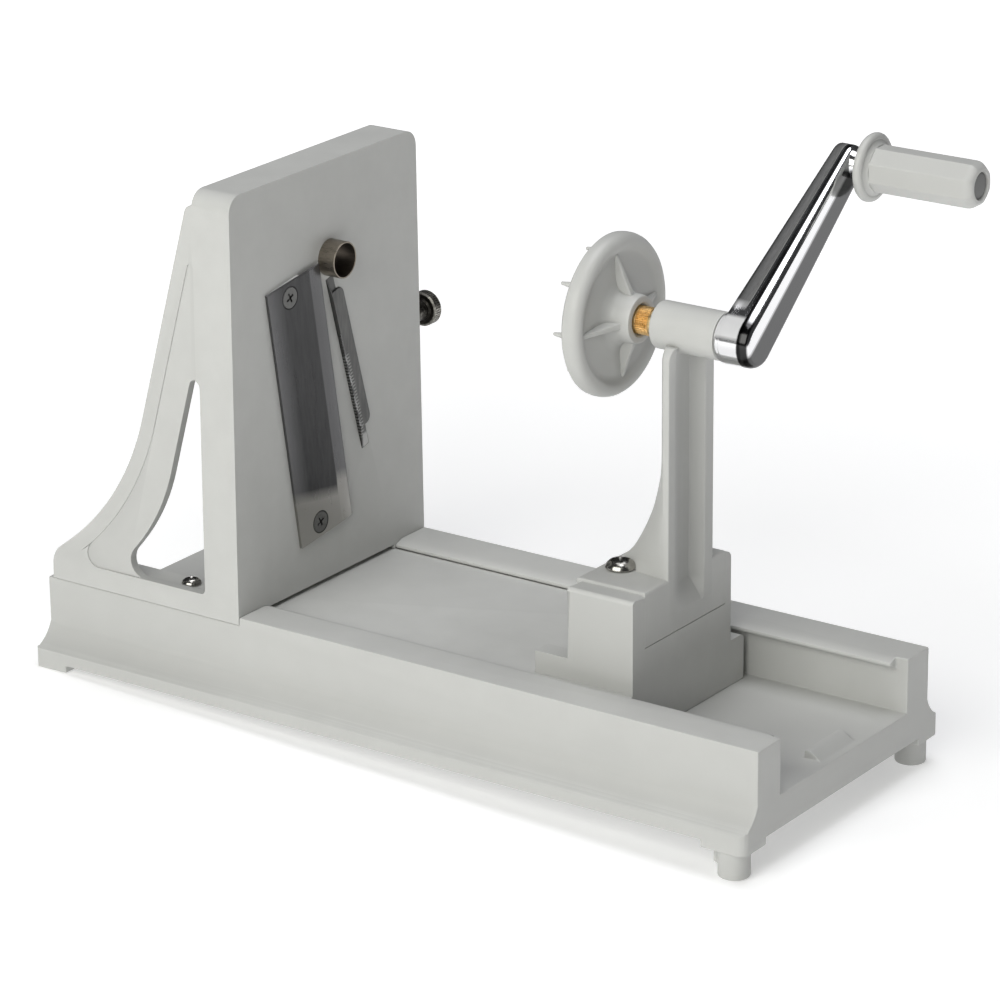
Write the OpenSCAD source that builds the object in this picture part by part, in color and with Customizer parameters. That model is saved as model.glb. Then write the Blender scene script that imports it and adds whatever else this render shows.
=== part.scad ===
// Hand-cranked spiralizer: a horizontal turning slicer with a sliding carriage,
// a spiked disc on a crank, and an upright plate that holds a blade and a comb.
// Millimetres, +Z up, crank end towards +X, far side towards +Y, pegs stand on Z = 0.

/* [Base] */
// Length of the base from end to end
base_len = 316; // [300:2:340]
// Width across the upright bands
band_w = 116; // [112:1:122]
// Reach of the flared bottom lips beyond the bands
lip_flare = 8.5; // [6:0.5:12]
// Height from the bottom edge of the sides to the rail tops
base_h = 34; // [32:0.5:40]
// Height of the upright band under each rail top
band_h = 20.5; // [18:0.5:22]
// Height of the upright lip at the bottom of each side
lip_h = 5; // [4.5:0.5:7]
// Radius of the lip's upright corners
lip_corner_r = 3.5; // [1:0.5:6]
// Radius of the flared lips' corners at the blade end
blade_corner_r = 0.8; // [0.4:0.2:4]
// Width of each rail beside the channel that the carriage slides in
rail_w = 15; // [13.5:0.5:16]
// Depth of the channel below the rail tops
channel_depth = 21; // [19:0.5:23]
// Wall thickness of the floor, the sides and the ends
tray_wall = 3; // [2:0.25:3.5]
// Depth of the step in the rails that the blade stand sits in
seat_depth = 3; // [2.6:0.1:4]
// Reach of the retaining lips over the slide plate
keeper_reach = 4; // [2:0.5:5]
// Thickness of the retaining lips at the wall
keeper_h = 4.2; // [3.8:0.1:5]
// Distance of the retaining lips from the base's crank end
keeper_end_gap = 5; // [2:0.5:10]
// Length of the stop bump on the floor
stop_len = 7; // [5:0.5:10]
// Width of the stop bump
stop_w = 23; // [16:1:40]
// Height of the stop bump
stop_h = 3; // [2:0.5:6]
// Distance of the stop bump from the base's crank end
stop_end_gap = 3; // [2:0.5:8]

/* [Feet] */
// Height of the pegs below the bottom edge of the sides
peg_drop = 13; // [9:0.5:20]
// Diameter of the pegs
peg_d = 11.5; // [8:0.5:12.5]
// Distance of the pegs from the base's crank end
peg_end_gap = 8; // [7:0.5:12]
// Distance of the pegs' centres from the outside of the lips
peg_inset = 6.5; // [6.5:0.5:8]
// Reach of the stiffening rib beside each peg
peg_rib = 2; // [1:0.5:4]
// Height of the corner pads below the bottom edge of the sides
pad_drop = 2.8; // [1:0.2:5]
// Length of the corner pads at the crank end
crank_pad_len = 18; // [16:1:24]
// Length of the corner pads at the blade end
blade_pad_len = 14; // [10:1:24]
// Width of the corner pads
pad_w = 14.7; // [13.5:0.1:20]

/* [Blade stand] */
// Place of the plate's slicing face along the base, from the middle
plate_x = -66.5; // [-75:0.5:-60]
// Depth of the plate's rim
plate_depth = 17.1; // [14:0.1:20]
// Thickness of the plate's slicing skin
skin = 2.5; // [2:0.1:4]
// Thickness of the plate's rim and of the side walls
stand_wall = 4; // [3:0.25:6]
// Height of the plate above the rail tops
plate_h = 159.5; // [150:0.5:180]
// Width that the plate loses on each side from bottom to top
plate_draft = 1.5; // [0.5:0.1:3]
// Radius of the plate's top corners
plate_corner_r = 6.5; // [3:0.5:10]
// Height of the side walls above the rail tops
side_h = 154.3; // [140:0.1:157]
// Length of the side walls behind the slicing face
side_len = 89; // [84:0.5:91]
// Width of the upper end of each side wall behind the slicing face
side_top_len = 19.7; // [19:0.1:24]
// Radius of the sweep on the back edge of the side walls
sweep_r = 103; // [60:1:110]
// Distance of the sweep's corner behind the slicing face
sweep_back = 52.2; // [50:0.2:56]
// Height of the sweep's corner above the rail tops
sweep_up = 35.5; // [32:0.5:38]
// Height of the side walls' toe above the rail tops
toe_up = 7.6; // [7:0.2:10]
// Depth of the panel let into each side wall
panel_depth = 0.5; // [0.3:0.1:1.5]
// Width of the raised border around each side panel
panel_border = 6; // [4:0.5:8]
// Width of the arm between the window and the wall's back edge
window_border = 17.1; // [15:0.1:20]
// Distance that the window reaches into the plate's rim
window_reach = 1.6; // [0:0.2:3]
// Height of the window's lower edge above the rail tops
window_up = 5.6; // [5:0.2:8]
// Thickness of the flanges that stand on the rails
flange_t = 7; // [5:0.5:9]
// Distance of the front flange screws behind the slicing face
foot_screw_near = 29.5; // [24:0.5:36]
// Distance of the rearmost flange screws behind the slicing face
foot_screw_far = 71.5; // [60:0.5:76]
// Distance of the flange screws from the outside of the bands
foot_screw_inset = 9.5; // [8.5:0.5:10]
// Head diameter of the flange screws
foot_head_d = 7.5; // [6:0.5:8]
// Height of the flange screws' heads
foot_head_h = 2.8; // [2:0.1:3.2]
// Shank diameter of the flange screws
foot_screw_d = 4; // [3:0.5:5]
// Length of the flange screws inside the rails
foot_screw_bite = 8; // [5:0.5:10]

/* [Blade] */
// Length of the slicing blade
blade_len = 104; // [90:1:106]
// Width of the slicing blade
blade_w = 31; // [28:0.5:34]
// Thickness of the slicing blade
blade_t = 1.2; // [0.8:0.1:1.5]
// Lean of the blade from upright
blade_lean = 9.3; // [5:0.1:12]
// Rise of the blade's cutting edge off the plate
blade_tilt = 2.5; // [1:0.25:4]
// Sideways place of the blade's middle
blade_y = -13.5; // [-16:0.5:-11]
// Height of the blade's middle above the rail tops
blade_z = 69.3; // [66:0.1:72]
// Distance between the two blade screws
blade_screw_gap = 92.6; // [80:0.2:94]
// Sideways place of the blade screws from the blade's middle line
blade_screw_u = -3.5; // [-6:0.5:0]
// Head diameter of the blade screws
blade_head_d = 8; // [6:0.5:9]
// Shank diameter of the blade screws
blade_screw_d = 4; // [3:0.5:4]
// Length of the blade screws
blade_screw_len = 9; // [6:0.5:10]
// Width of the slot under the cutting edge
slit_w = 12; // [9:0.5:13]
// Length of the slot under the cutting edge
slit_len = 90; // [70:1:92]

/* [Comb] */
// Lean of the comb from upright
comb_lean = 15.7; // [12:0.1:18]
// Sideways place of the comb's middle at its toothed edge
comb_y = 9.3; // [8.5:0.1:14]
// Height of the comb's middle above the rail tops
comb_z = 79; // [74:0.5:82]
// Length of the comb's body
comb_len = 59.5; // [50:0.5:64]
// Width of the comb's body
comb_w = 7.9; // [6:0.1:10]
// Length of the comb's toothed fin
fin_len = 74; // [66:0.5:78]
// Thickness of the comb's toothed fin
fin_t = 0.8; // [0.5:0.1:1.2]
// Height of the comb's teeth above the plate
tooth_h = 1.6; // [1:0.1:2.5]
// Spacing of the comb's teeth
tooth_pitch = 1.2; // [1:0.1:4]
// Length of the toothed part of the fin
tooth_span = 41; // [20:1:48]
// Depth of the comb behind the slicing face
comb_depth = 9; // [8:0.5:14]

/* [Corer ring] */
// Outside diameter of the corer ring
ring_d = 13.9; // [12:0.1:15]
// Wall thickness of the corer ring
ring_wall = 0.6; // [0.4:0.1:1]
// Reach of the corer ring in front of the plate
ring_reach = 7.2; // [4:0.2:10]

/* [Clamp screw] */
// Height of the clamp screw above the rail tops
clamp_z = 85.3; // [82:0.1:92]
// Diameter of the clamp screw's rod
clamp_d = 4; // [3:0.5:5]
// Diameter of the thumb knob
knob_d = 13.7; // [10:0.1:18]
// Thickness of the thumb knob
knob_t = 4.5; // [3:0.5:6]
// Length of the knob's neck
knob_neck = 7.2; // [3:0.2:9]
// Outside diameter of the bush that the clamp screw turns in
bush_d = 8; // [7:0.5:9]
// Length of the bush that the clamp screw turns in
bush_len = 10; // [6:0.5:16]

/* [Carriage] */
// Place of the carriage's crank-side face along the base, from the middle
block_x = 91.2; // [85:0.2:96]
// Length of the carriage block
block_len = 27.7; // [26:0.1:34]
// Length of the slide plate, block included
slide_len = 191; // [180:1:196]
// Height of the carriage block above the rail tops
block_h = 32.3; // [28:0.1:40]
// Height of the pocket's floor above the rail tops
pocket_z = 12.4; // [10:0.1:16]
// Distance of the carriage block from the channel's near wall
block_near_gap = 8.5; // [6:0.5:11]
// Distance of the carriage block from the channel's far wall
block_far_gap = 13; // [6:0.5:14]
// Thickness of the cheek on the near side
near_cheek = 8; // [4:0.5:8.5]
// Thickness of the cheek on the far side
far_cheek = 4; // [3:0.5:10]
// Thickness of the slide plate
slide_t = 3; // [2:0.25:4]
// Distance of the runners from the edges of the slide plate
runner_inset = 2; // [1:0.5:6]
// Width of each runner
runner_w = 3; // [2:0.5:5]
// Gap between the slide plate and the channel
slide_gap = 0.4; // [0.3:0.05:0.6]
// Length of the low tab in front of the block
tab_len = 14; // [8:0.5:20]
// Height of the low tab above the rail tops
tab_h = 5.3; // [3:0.1:8]

/* [Crank post] */
// Sideways place of the crank's axis
axis_y = 1.8; // [0:0.2:3]
// Height of the crank's axis above the rail tops
axis_z = 123; // [116:0.5:130]
// Height of the post's foot
foot_h = 20.9; // [16:0.1:24]
// Width of the post's column
column_w = 29.5; // [26:0.5:32]
// Sideways shift of the column from the crank's axis towards the far side
column_shift = 1.3; // [0:0.1:2]
// Depth of the column at its thinnest height
column_depth = 7.1; // [6:0.1:10]
// Width of the fin along the column's back
column_fin = 10; // [8:0.5:14]
// Radius of the column's sweep towards its foot
column_sweep = 87; // [70:1:110]
// Length of the swept stretch above the foot
column_flare = 53; // [40:1:54]
// Width of the groove in the column's face
groove_w = 20; // [14:0.5:21]
// Depth of the groove in the column's face
groove_depth = 5; // [3:0.25:5.5]
// Length of the groove below the top of the foot
groove_drop = 12.3; // [6:0.1:16]
// Outside diameter of the bearing sleeve
sleeve_d = 17.4; // [15:0.2:20]
// Length of the bearing sleeve
sleeve_len = 26.6; // [22:0.2:34]
// Reach of the sleeve beyond the column's face
sleeve_reach = 14.5; // [8:0.5:18]
// Head diameter of the post screws
post_head_d = 11.3; // [9:0.1:13]
// Shank diameter of the post screws
post_screw_d = 6; // [4:0.5:7]
// Distance of the post screws from the carriage's crank-side face
post_screw_x = 21.2; // [20:0.2:22]
// Sideways distance of the post screws from the crank's axis
post_screw_y = 12; // [11:0.5:16]

/* [Drive] */
// Diameter of the crank shaft
shaft_d = 8; // [6:0.5:9]
// Radial running clearance of shafts in their bores
run_gap = 0.05; // [0.03:0.01:0.1]
// End gap between turning and standing faces
end_gap = 0.3; // [0.2:0.05:0.5]
// Diameter of the brass insert
insert_d = 11; // [10.5:0.1:12.5]
// Length of the brass insert that shows
insert_len = 7.8; // [6:0.2:12]
// Diameter of the spiked disc
disc_d = 59.3; // [50:0.1:70]
// Thickness of the disc over its rolled rim
rim_h = 7.2; // [6.8:0.1:9]
// Thickness of the disc's web
web_t = 5.4; // [4:0.2:5.6]
// Diameter of the disc's hub
hub_d = 17.5; // [16:0.1:20]
// Height of the disc's hub over the disc's front face
hub_h = 15; // [13:0.5:18]
// Number of stiffening ribs on the disc
rib_count = 4; // [3:1:6]
// Number of spikes on the disc
spike_count = 8; // [5:1:12]
// Radius of the circle that the spikes stand on
spike_ring_r = 23.5; // [14:0.5:24.5]
// Length of the spikes
spike_len = 6.6; // [5:0.2:9]
// Diameter of each spike at its root
spike_d = 3; // [2:0.2:4]

/* [Crank] */
// Distance from the crank's axis to the grip's axis
crank_r = 82; // [70:1:100]
// Angle of the crank arm at rest, from the far side upwards
crank_angle = 36; // [0:1:90]
// Thickness of the arm at its hub
arm_hub_t = 12; // [10:0.5:16]
// Thickness of the arm at its tip
arm_tip_t = 8; // [6:0.5:9]
// Width of the arm at its hub
arm_hub_w = 18.6; // [16:0.2:24]
// Width of the arm at its tip
arm_tip_w = 13.5; // [11:0.5:16]
// Length of the small boss between the arm and the grip
arm_boss = 4.7; // [2:0.1:8]
// Diameter of the spindle that the grip turns on
spindle_d = 6; // [5:0.5:7]
// Length of the grip over its flange
grip_len = 45.5; // [40:0.5:60]
// Width of the eight-sided grip body across its flats
grip_w = 16; // [14.5:0.1:18]
// Diameter of the grip's flange
grip_flange_d = 25; // [21:0.5:30]
// Thickness of the grip's flange
grip_flange_t = 3.5; // [2:0.25:5]
// Diameter of the plug in the grip's end
plug_d = 11; // [9.5:0.2:12]
// Length of the plug in the grip's end
plug_len = 5; // [3:0.5:6]

/* [Hidden] */

$fn = 64;
// Overrun of a cut past the surface it leaves
cut = 1;
// Radial clearance of a screw or pin that is fixed in its hole
seat_fit = 0.05;
// Number of straight steps in each rounded corner of an outline
arc_steps = 8;
// Number of straight steps in each long sweep
sweep_steps = 16;

// Heights of the base
under_z = peg_drop;
rail_top = under_z + base_h;
floor_z = rail_top - channel_depth;
seat_z = rail_top - seat_depth;
lip_top = under_z + lip_h;
band_bottom = rail_top - band_h;
end_x = base_len / 2;
channel_w = band_w - 2 * rail_w;
lip_w = band_w + 2 * lip_flare;
stop_x = end_x - stop_end_gap - stop_len;
keeper_end = end_x - keeper_end_gap;
peg_x = end_x - peg_end_gap;
peg_y = lip_w / 2 - peg_inset;

// Slide plate
slide_top = rail_top - keeper_h + 1;
slide_half = channel_w / 2 - slide_gap;
slide_x = block_x - slide_len;
block_back = block_x - block_len;
block_y0 = -channel_w / 2 + block_near_gap;
block_y1 = channel_w / 2 - block_far_gap;
foot_y0 = block_y0 + near_cheek;
foot_y1 = block_y1 - far_cheek;
pocket_floor = rail_top + pocket_z;

// Crank line, all along X
crank_z = rail_top + axis_z;
foot_top = pocket_floor + foot_h;
sleeve_x1 = block_x + sleeve_reach;
sleeve_x0 = sleeve_x1 - sleeve_len;
insert_x1 = sleeve_x0 - end_gap;
insert_x0 = insert_x1 - insert_len;
hub_recess = 1.5;
disc_x0 = insert_x0 - hub_h;
arm_x0 = sleeve_x1 + end_gap;
arm_x1 = arm_x0 + arm_hub_t;
grip_x0 = arm_x1 + arm_boss + end_gap;
grip_x1 = grip_x0 + grip_len;
grip_y = axis_y + crank_r * cos(crank_angle);
grip_z = crank_z + crank_r * sin(crank_angle);
plug_gap = 0.6;
plug_x0 = grip_x1 - plug_gap - plug_len;
grip_head_t = 3;
grip_head_x = plug_x0 - end_gap - grip_head_t;

// Plate heights and places
plate_top = rail_top + plate_h;
plate_back = plate_x - plate_depth;
lean_angle = atan(plate_draft / (plate_top - seat_z));
blade_mid = rail_top + blade_z;
comb_mid = rail_top + comb_z;
clamp_height = rail_top + clamp_z;
clamp_x = plate_x - skin - clamp_d / 2 - 0.3;
rim_y = band_w / 2 - (clamp_height - seat_z) * tan(lean_angle);
pad_half = 3;
pad_y = comb_y + comb_w + 11;
slot_gap = 0.2;

// Centre of the whole part, which is moved onto the origin
centre_x = (grip_x1 - end_x) / 2;
centre_y = (grip_y + grip_flange_d / 2 - lip_w / 2) / 2;

plastic = [0.8, 0.8, 0.78];
steel = [0.62, 0.62, 0.63];
dark_steel = [0.35, 0.35, 0.36];
brass = [0.86, 0.68, 0.36];
chrome = [0.75, 0.76, 0.78];
plug_grey = [0.35, 0.36, 0.36];

// Outline helpers: each corner is [x, y, radius]
function unit(v) = v / norm(v);
function turn_between(a, b) = let (d = b - a) d > 180 ? d - 360 : d < -180 ? d + 360 : d;
function corner_arc(a, b, c, r, steps) =
    let (u = unit(a - b), w = unit(c - b))
    let (half = acos(max(-1, min(1, u * w))) / 2)
    let (middle = b + unit(u + w) * r / sin(half))
    let (p = b + u * r / tan(half) - middle, q = b + w * r / tan(half) - middle)
    let (a0 = atan2(p.y, p.x), sweep = turn_between(a0, atan2(q.y, q.x)))
    [for (i = [0 : steps]) let (t = a0 + sweep * i / steps) middle + r * [cos(t), sin(t)]];
function flat(p) = [p.x, p.y];
function rounded(corners) = [
    for (i = [0 : len(corners) - 1])
        let (n = len(corners), a = corners[(i + n - 1) % n], b = corners[i], c = corners[(i + 1) % n])
        for (p = b.z == 0 ? [flat(b)]
            : corner_arc(flat(a), flat(b), flat(c), b.z, b.z > 20 ? sweep_steps : arc_steps)) p
];

// Moves a piece from the base's own middle to the part's frame
module in_frame() {
    translate([-centre_x, -centre_y, 0]) children();
}

// A box given by its low and high corners
module block(low, high) {
    translate(low) cube(high - low);
}

// A cylinder along X
module rod_x(x0, x1, y, z, r) {
    translate([x0, y, z]) rotate([0, 90, 0]) cylinder(h = x1 - x0, r = r);
}

// A cylinder along Y
module rod_y(y0, y1, x, z, r) {
    translate([x, y1, z]) rotate([90, 0, 0]) cylinder(h = y1 - y0, r = r);
}

// Extrudes a Y-Z outline along X
module along_x(x0, x1) {
    translate([x0, 0, 0]) rotate([90, 0, 90]) linear_extrude(x1 - x0) children();
}

// Extrudes an X-Z outline along Y, from y0 to y1
module along_y(y0, y1) {
    translate([0, y1, 0]) rotate([90, 0, 0]) linear_extrude(y1 - y0) children();
}

// Places children on the slicing face: local X runs across, Y up and Z out of the face
module on_plate(y, z, turn) {
    translate([plate_x, y, z]) rotate([90, 0, 90]) rotate([0, 0, turn]) children();
}

// Places children on the blade's underside, which rises towards its cutting edge
module on_blade() {
    on_plate(blade_y, blade_mid, blade_lean)
        translate([-blade_w / 2, 0, 0]) rotate([0, -blade_tilt, 0]) translate([blade_w / 2, 0, 0]) children();
}

// Places children on the comb's toothed edge
module on_comb() {
    on_plate(comb_y, comb_mid, comb_lean) children();
}

// Draws children on the near side and again, mirrored, on the far side
module both_sides() {
    children();
    mirror([0, 1, 0]) children();
}

// Concave side of the base from the band out to the lip
cove_from = 200;
cove_to = 250;
function cove_point(i) =
    let (a = cove_from + (cove_to - cove_from) * i / arc_steps)
    let (out = (cos(a) - cos(cove_from)) / (cos(cove_to) - cos(cove_from)))
    let (down = (sin(a) - sin(cove_from)) / (sin(cove_to) - sin(cove_from)))
    [band_w / 2 + out * (lip_w - band_w) / 2, band_bottom - down * (band_bottom - lip_top)];
cove = [for (i = [0 : arc_steps]) cove_point(i)];
function mirrored(points) = [for (i = [len(points) - 1 : -1 : 0]) [-points[i].x, points[i].y]];

module base_section() {
    half = concat([[band_w / 2, rail_top]], cove, [[lip_w / 2, under_z]]);
    polygon(concat(half, mirrored(half)));
}

// Plan of the lips, with sharper corners at the blade end
module lip_outline() {
    y = lip_w / 2;
    polygon(rounded([[-end_x, -y, blade_corner_r], [end_x, -y, lip_corner_r],
        [end_x, y, lip_corner_r], [-end_x, y, blade_corner_r]]));
}

module foot_screw_places() {
    for (x = [foot_screw_near, foot_screw_far], side = [-1, 1])
        translate([plate_x - x, side * (band_w / 2 - foot_screw_inset), 0]) children();
}

foot_screw_len = flange_t + foot_screw_bite;

module keeper() {
    y = channel_w / 2;
    tip = 1.4;
    along_x(plate_x, keeper_end)
        polygon([[y, rail_top], [y - keeper_reach, rail_top - tip],
            [y - keeper_reach, rail_top - keeper_h + tip], [y, rail_top - keeper_h]]);
}

module base_tray() {
    inner = band_w / 2 - tray_wall;
    lip_inner = lip_w / 2 - tray_wall;
    pads = [[-end_x, -end_x + blade_pad_len], [end_x - crank_pad_len, end_x]];
    color(plastic) in_frame() {
        difference() {
            intersection() {
                along_x(-end_x, end_x) base_section();
                translate([0, 0, under_z])
                    linear_extrude(base_h) lip_outline();
            }
            block([-end_x - cut, -channel_w / 2, floor_z], [end_x + cut, channel_w / 2, rail_top + cut]);
            block([-end_x - cut, -band_w, seat_z], [plate_x, band_w, rail_top + cut]);
            block([-end_x + tray_wall, -inner, under_z - cut], [end_x - tray_wall, inner, floor_z - tray_wall]);
            block([-end_x + tray_wall, -lip_inner, under_z - cut],
                [end_x - tray_wall, lip_inner, lip_top - tray_wall]);
            foot_screw_places()
                translate([0, 0, seat_z - foot_screw_len + flange_t - cut])
                    cylinder(h = foot_screw_len, d = foot_screw_d + 2 * seat_fit);
        }
        both_sides() keeper();
        intersection() {
            for (span = pads, side = [-1, 1])
                block([span[0], side > 0 ? lip_w / 2 - pad_w : -lip_w / 2, under_z - pad_drop],
                    [span[1], side > 0 ? lip_w / 2 : -lip_w / 2 + pad_w, lip_top - 0.5]);
            translate([0, 0, under_z - pad_drop])
                linear_extrude(base_h) lip_outline();
        }
        along_y(-stop_w / 2, stop_w / 2)
            polygon([[stop_x, floor_z], [stop_x, floor_z + stop_h], [stop_x + stop_len / 3, floor_z + stop_h],
                [stop_x + stop_len, floor_z]]);
    }
}

module edge_peg(side) {
    rib_t = 3;
    rib_h = (peg_drop - pad_drop) * 0.65;
    color(plastic) in_frame() translate([peg_x, side * peg_y, 0]) {
        cylinder(h = under_z - pad_drop, d = peg_d);
        block([-peg_d / 2 - peg_rib, -rib_t / 2, under_z - pad_drop - rib_h], [0, rib_t / 2, under_z - pad_drop]);
    }
}

module near_edge_peg() {
    edge_peg(-1);
}

module far_edge_peg() {
    edge_peg(1);
}

// Side wall outline in X and Z: back edge, swept foot and rounded toe
side_x1 = plate_x - side_len;
sweep_x = plate_x - sweep_back;
sweep_z = rail_top + sweep_up;
toe_z = rail_top + toe_up;
module side_outline() {
    polygon(rounded([
        [plate_x - stand_wall, seat_z, 0],
        [side_x1, seat_z, 0],
        [side_x1 + 0.3, toe_z, 9],
        [sweep_x, sweep_z, sweep_r],
        [plate_x - side_top_len, rail_top + side_h, 4],
        [plate_x - stand_wall, rail_top + side_h, 0]
    ]));
}

// Slope of the wall's back edge, and the same sweep drawn a border's width inside it
back_run = unit([plate_x - side_top_len - sweep_x, rail_top + side_h - sweep_z]);
toe_run = unit([sweep_x - side_x1 - 0.3, sweep_z - toe_z]);
back_in = [back_run.y, -back_run.x];
toe_in = [toe_run.y, -toe_run.x];
function inset_corner(border) =
    let (mid = unit(back_in + toe_in))
    [sweep_x, sweep_z] + mid * border / (mid * back_in);
function meet_level(p, run, z) = [p.x + (z - p.y) * run.x / run.y, z];
function meet_wall(p, run, x) = [x, p.y + (x - p.x) * run.y / run.x];
window_bottom = rail_top + window_up;

// Outline a border's width inside the back edge, up to x1; its lower run can be lifted and steepened
module inset_outline(border, x1, lift, steepen, radius, low_r, top_r) {
    elbow = inset_corner(border) + lift * back_run;
    toe = unit(toe_run + steepen * [0, 1]);
    top = meet_wall(elbow, back_run, x1);
    low = meet_level(elbow, toe, window_bottom);
    polygon(rounded([
        [x1, window_bottom, 2],
        [low.x, low.y, low_r],
        [elbow.x, elbow.y, radius],
        [top.x, top.y, top_r]
    ]));
}

// Leans a piece on the near side by the slope of the plate's rim
module leaned() {
    outer = band_w / 2;
    translate([0, -outer, seat_z]) rotate([-lean_angle, 0, 0]) translate([0, outer, -seat_z]) children();
}

// Wall on the near side, leaned with the plate and cut level where it stands on the rail
module side_wall() {
    outer = band_w / 2;
    rim_skin = 0.5;
    difference() {
        leaned() difference() {
            along_y(-outer, -outer + stand_wall) side_outline();
            along_y(-outer - cut, -outer + panel_depth)
                inset_outline(panel_border, plate_back, 0, 0, sweep_r + panel_border, 5, 1.4);
            block([plate_back, -outer - cut, seat_z], [plate_x, -outer + rim_skin, plate_top]);
        }
        block([side_x1 - cut, -outer - cut, seat_z - cut], [plate_x, 0, seat_z]);
    }
}

module side_window() {
    lift = 8;
    steepen = 0.33;
    window_r = 80;
    leaned() along_y(-band_w / 2 - 1, -band_w / 2 + stand_wall + 1)
        inset_outline(window_border, plate_back + window_reach, lift, steepen, window_r, 6.4, 2.6);
}

module plate_outline(inset, low, lift) {
    half = band_w / 2 - inset;
    top_half = half - plate_draft;
    r = max(plate_corner_r - inset, 1);
    polygon(rounded([[-half, low, 0], [half, low, 0], [top_half, lift, r], [-top_half, lift, r]]));
}

// Slot under the cutting edge and slot around the comb, drawn on the slicing face
slit_u0 = blade_w / 2 + 0.5 - slit_w;
module comb_slot(grow) {
    low = -comb_len / 2 + 1.2;
    translate([0, 0, -plate_depth]) {
        linear_extrude(plate_depth + cut)
            polygon(rounded([[-grow, low - grow, 0], [comb_w + grow, low - grow, 3.5],
                [comb_w + grow, low + comb_len + grow, 3.5], [-grow, low + comb_len + grow, 0]]));
        translate([-grow, -fin_len / 2 - grow, 0])
            cube([fin_t + 2 * grow, fin_len + 2 * grow, plate_depth + cut]);
    }
}

tab_w = 4.3;
tab_t = 0.8;
module comb_tabs(grow) {
    for (v = [[-fin_len / 2, -comb_len / 2 + 2], [comb_len / 2 + 0.5, fin_len / 2]])
        block([fin_t - grow, v[0] - grow, -tab_t - grow], [tab_w + grow, v[1] + grow, grow > 0 ? cut : 0]);
}

blade_boss_d = 9;
module blade_screw_places() {
    for (end = [-1, 1])
        translate([blade_screw_u, end * blade_screw_gap / 2, 0]) children();
}

module blade_seat() {
    intersection() {
        on_blade() block([-blade_w / 2, -blade_len / 2, -skin], [slit_u0 + 4, blade_len / 2, 0]);
        on_plate(blade_y, blade_mid, blade_lean)
            block([-blade_w / 2, -blade_len / 2, -skin], [slit_u0, blade_len / 2, skin]);
    }
}

module blade_stand() {
    boss_len = bush_len + 4;
    color(plastic) in_frame() difference() {
        union() {
            difference() {
                along_x(plate_back, plate_x) plate_outline(0, seat_z, plate_top);
                along_x(plate_back - cut, plate_x - skin)
                    plate_outline(stand_wall, seat_z + flange_t, plate_top - stand_wall);
                block([plate_back - cut, -channel_w / 2 + keeper_reach + 0.5, seat_z - cut],
                    [plate_x + cut, channel_w / 2 - keeper_reach - 0.5, seat_z + 1.5]);
            }
            both_sides() side_wall();
            both_sides()
                block([side_x1 + 0.3, -band_w / 2 + 1, seat_z], [plate_back + 1, -channel_w / 2, seat_z + flange_t]);
            blade_seat();
            on_blade() blade_screw_places()
                translate([0, 0, -blade_screw_len]) cylinder(h = blade_screw_len, d = blade_boss_d);
            intersection() {
                rod_y(rim_y - boss_len, rim_y - 1, clamp_x, clamp_height, bush_d / 2 + 2);
                block([plate_back, 0, seat_z], [plate_x - 0.5, band_w, plate_top]);
            }
            rod_x(plate_x - skin - 3, plate_x - 1, axis_y, crank_z, ring_d / 2 + 2.5);
        }
        both_sides() side_window();
        on_plate(blade_y, blade_mid, blade_lean)
            translate([slit_u0, -slit_len / 2 - 2, -plate_depth]) cube([slit_w, slit_len, plate_depth + cut]);
        on_comb() comb_slot(slot_gap);
        on_comb() comb_tabs(slot_gap);
        on_blade() blade_screw_places()
            translate([0, 0, -blade_screw_len - cut])
                cylinder(h = blade_screw_len + 2 * cut, d = blade_screw_d + 2 * seat_fit);
        rod_x(plate_x - plate_depth, plate_x + cut, axis_y, crank_z, ring_d / 2 + seat_fit);
        rod_y(rim_y - boss_len - cut, rim_y + cut, clamp_x, clamp_height, bush_d / 2 + seat_fit);
        foot_screw_places()
            translate([0, 0, seat_z - cut]) cylinder(h = flange_t + 2 * cut, d = foot_screw_d + 2 * seat_fit);
    }
}

// Round-headed screw standing on its head's underside, shank downwards
module pan_screw(head_d, head_h, shank_d, shank_len) {
    rise = head_h * 0.45;
    difference() {
        union() {
            translate([0, 0, -shank_len]) cylinder(h = shank_len, d = shank_d);
            cylinder(h = rise, d = head_d);
            translate([0, 0, rise]) cylinder(h = head_h - rise, d1 = head_d, d2 = head_d * 0.6);
        }
        for (turn = [0, 90])
            rotate([0, 0, turn]) translate([-head_d * 0.25, -head_d * 0.05, head_h * 0.6])
                cube([head_d * 0.5, head_d * 0.1, head_h]);
    }
}

module stand_screws() {
    color(steel) in_frame() foot_screw_places()
        translate([0, 0, seat_z + flange_t])
            pan_screw(foot_head_d, foot_head_h, foot_screw_d, foot_screw_len - cut);
}

module slicing_blade() {
    bevel = 5.4;
    edge_t = 0.3;
    sink = (blade_head_d - blade_screw_d) / 2;
    color(steel) in_frame() on_blade() difference() {
        translate([0, blade_len / 2, 0]) rotate([90, 0, 0]) linear_extrude(blade_len)
            polygon([[-blade_w / 2, 0], [blade_w / 2, 0], [blade_w / 2, edge_t],
                [blade_w / 2 - bevel, blade_t], [-blade_w / 2, blade_t]]);
        blade_screw_places() {
            translate([0, 0, -cut]) cylinder(h = blade_t + 2 * cut, d = blade_screw_d + 2 * seat_fit);
            translate([0, 0, blade_t - sink / 2 - seat_fit])
                cylinder(h = sink, d1 = blade_head_d - sink + 2 * seat_fit, d2 = blade_head_d + sink + 2 * seat_fit);
        }
    }
}

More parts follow.
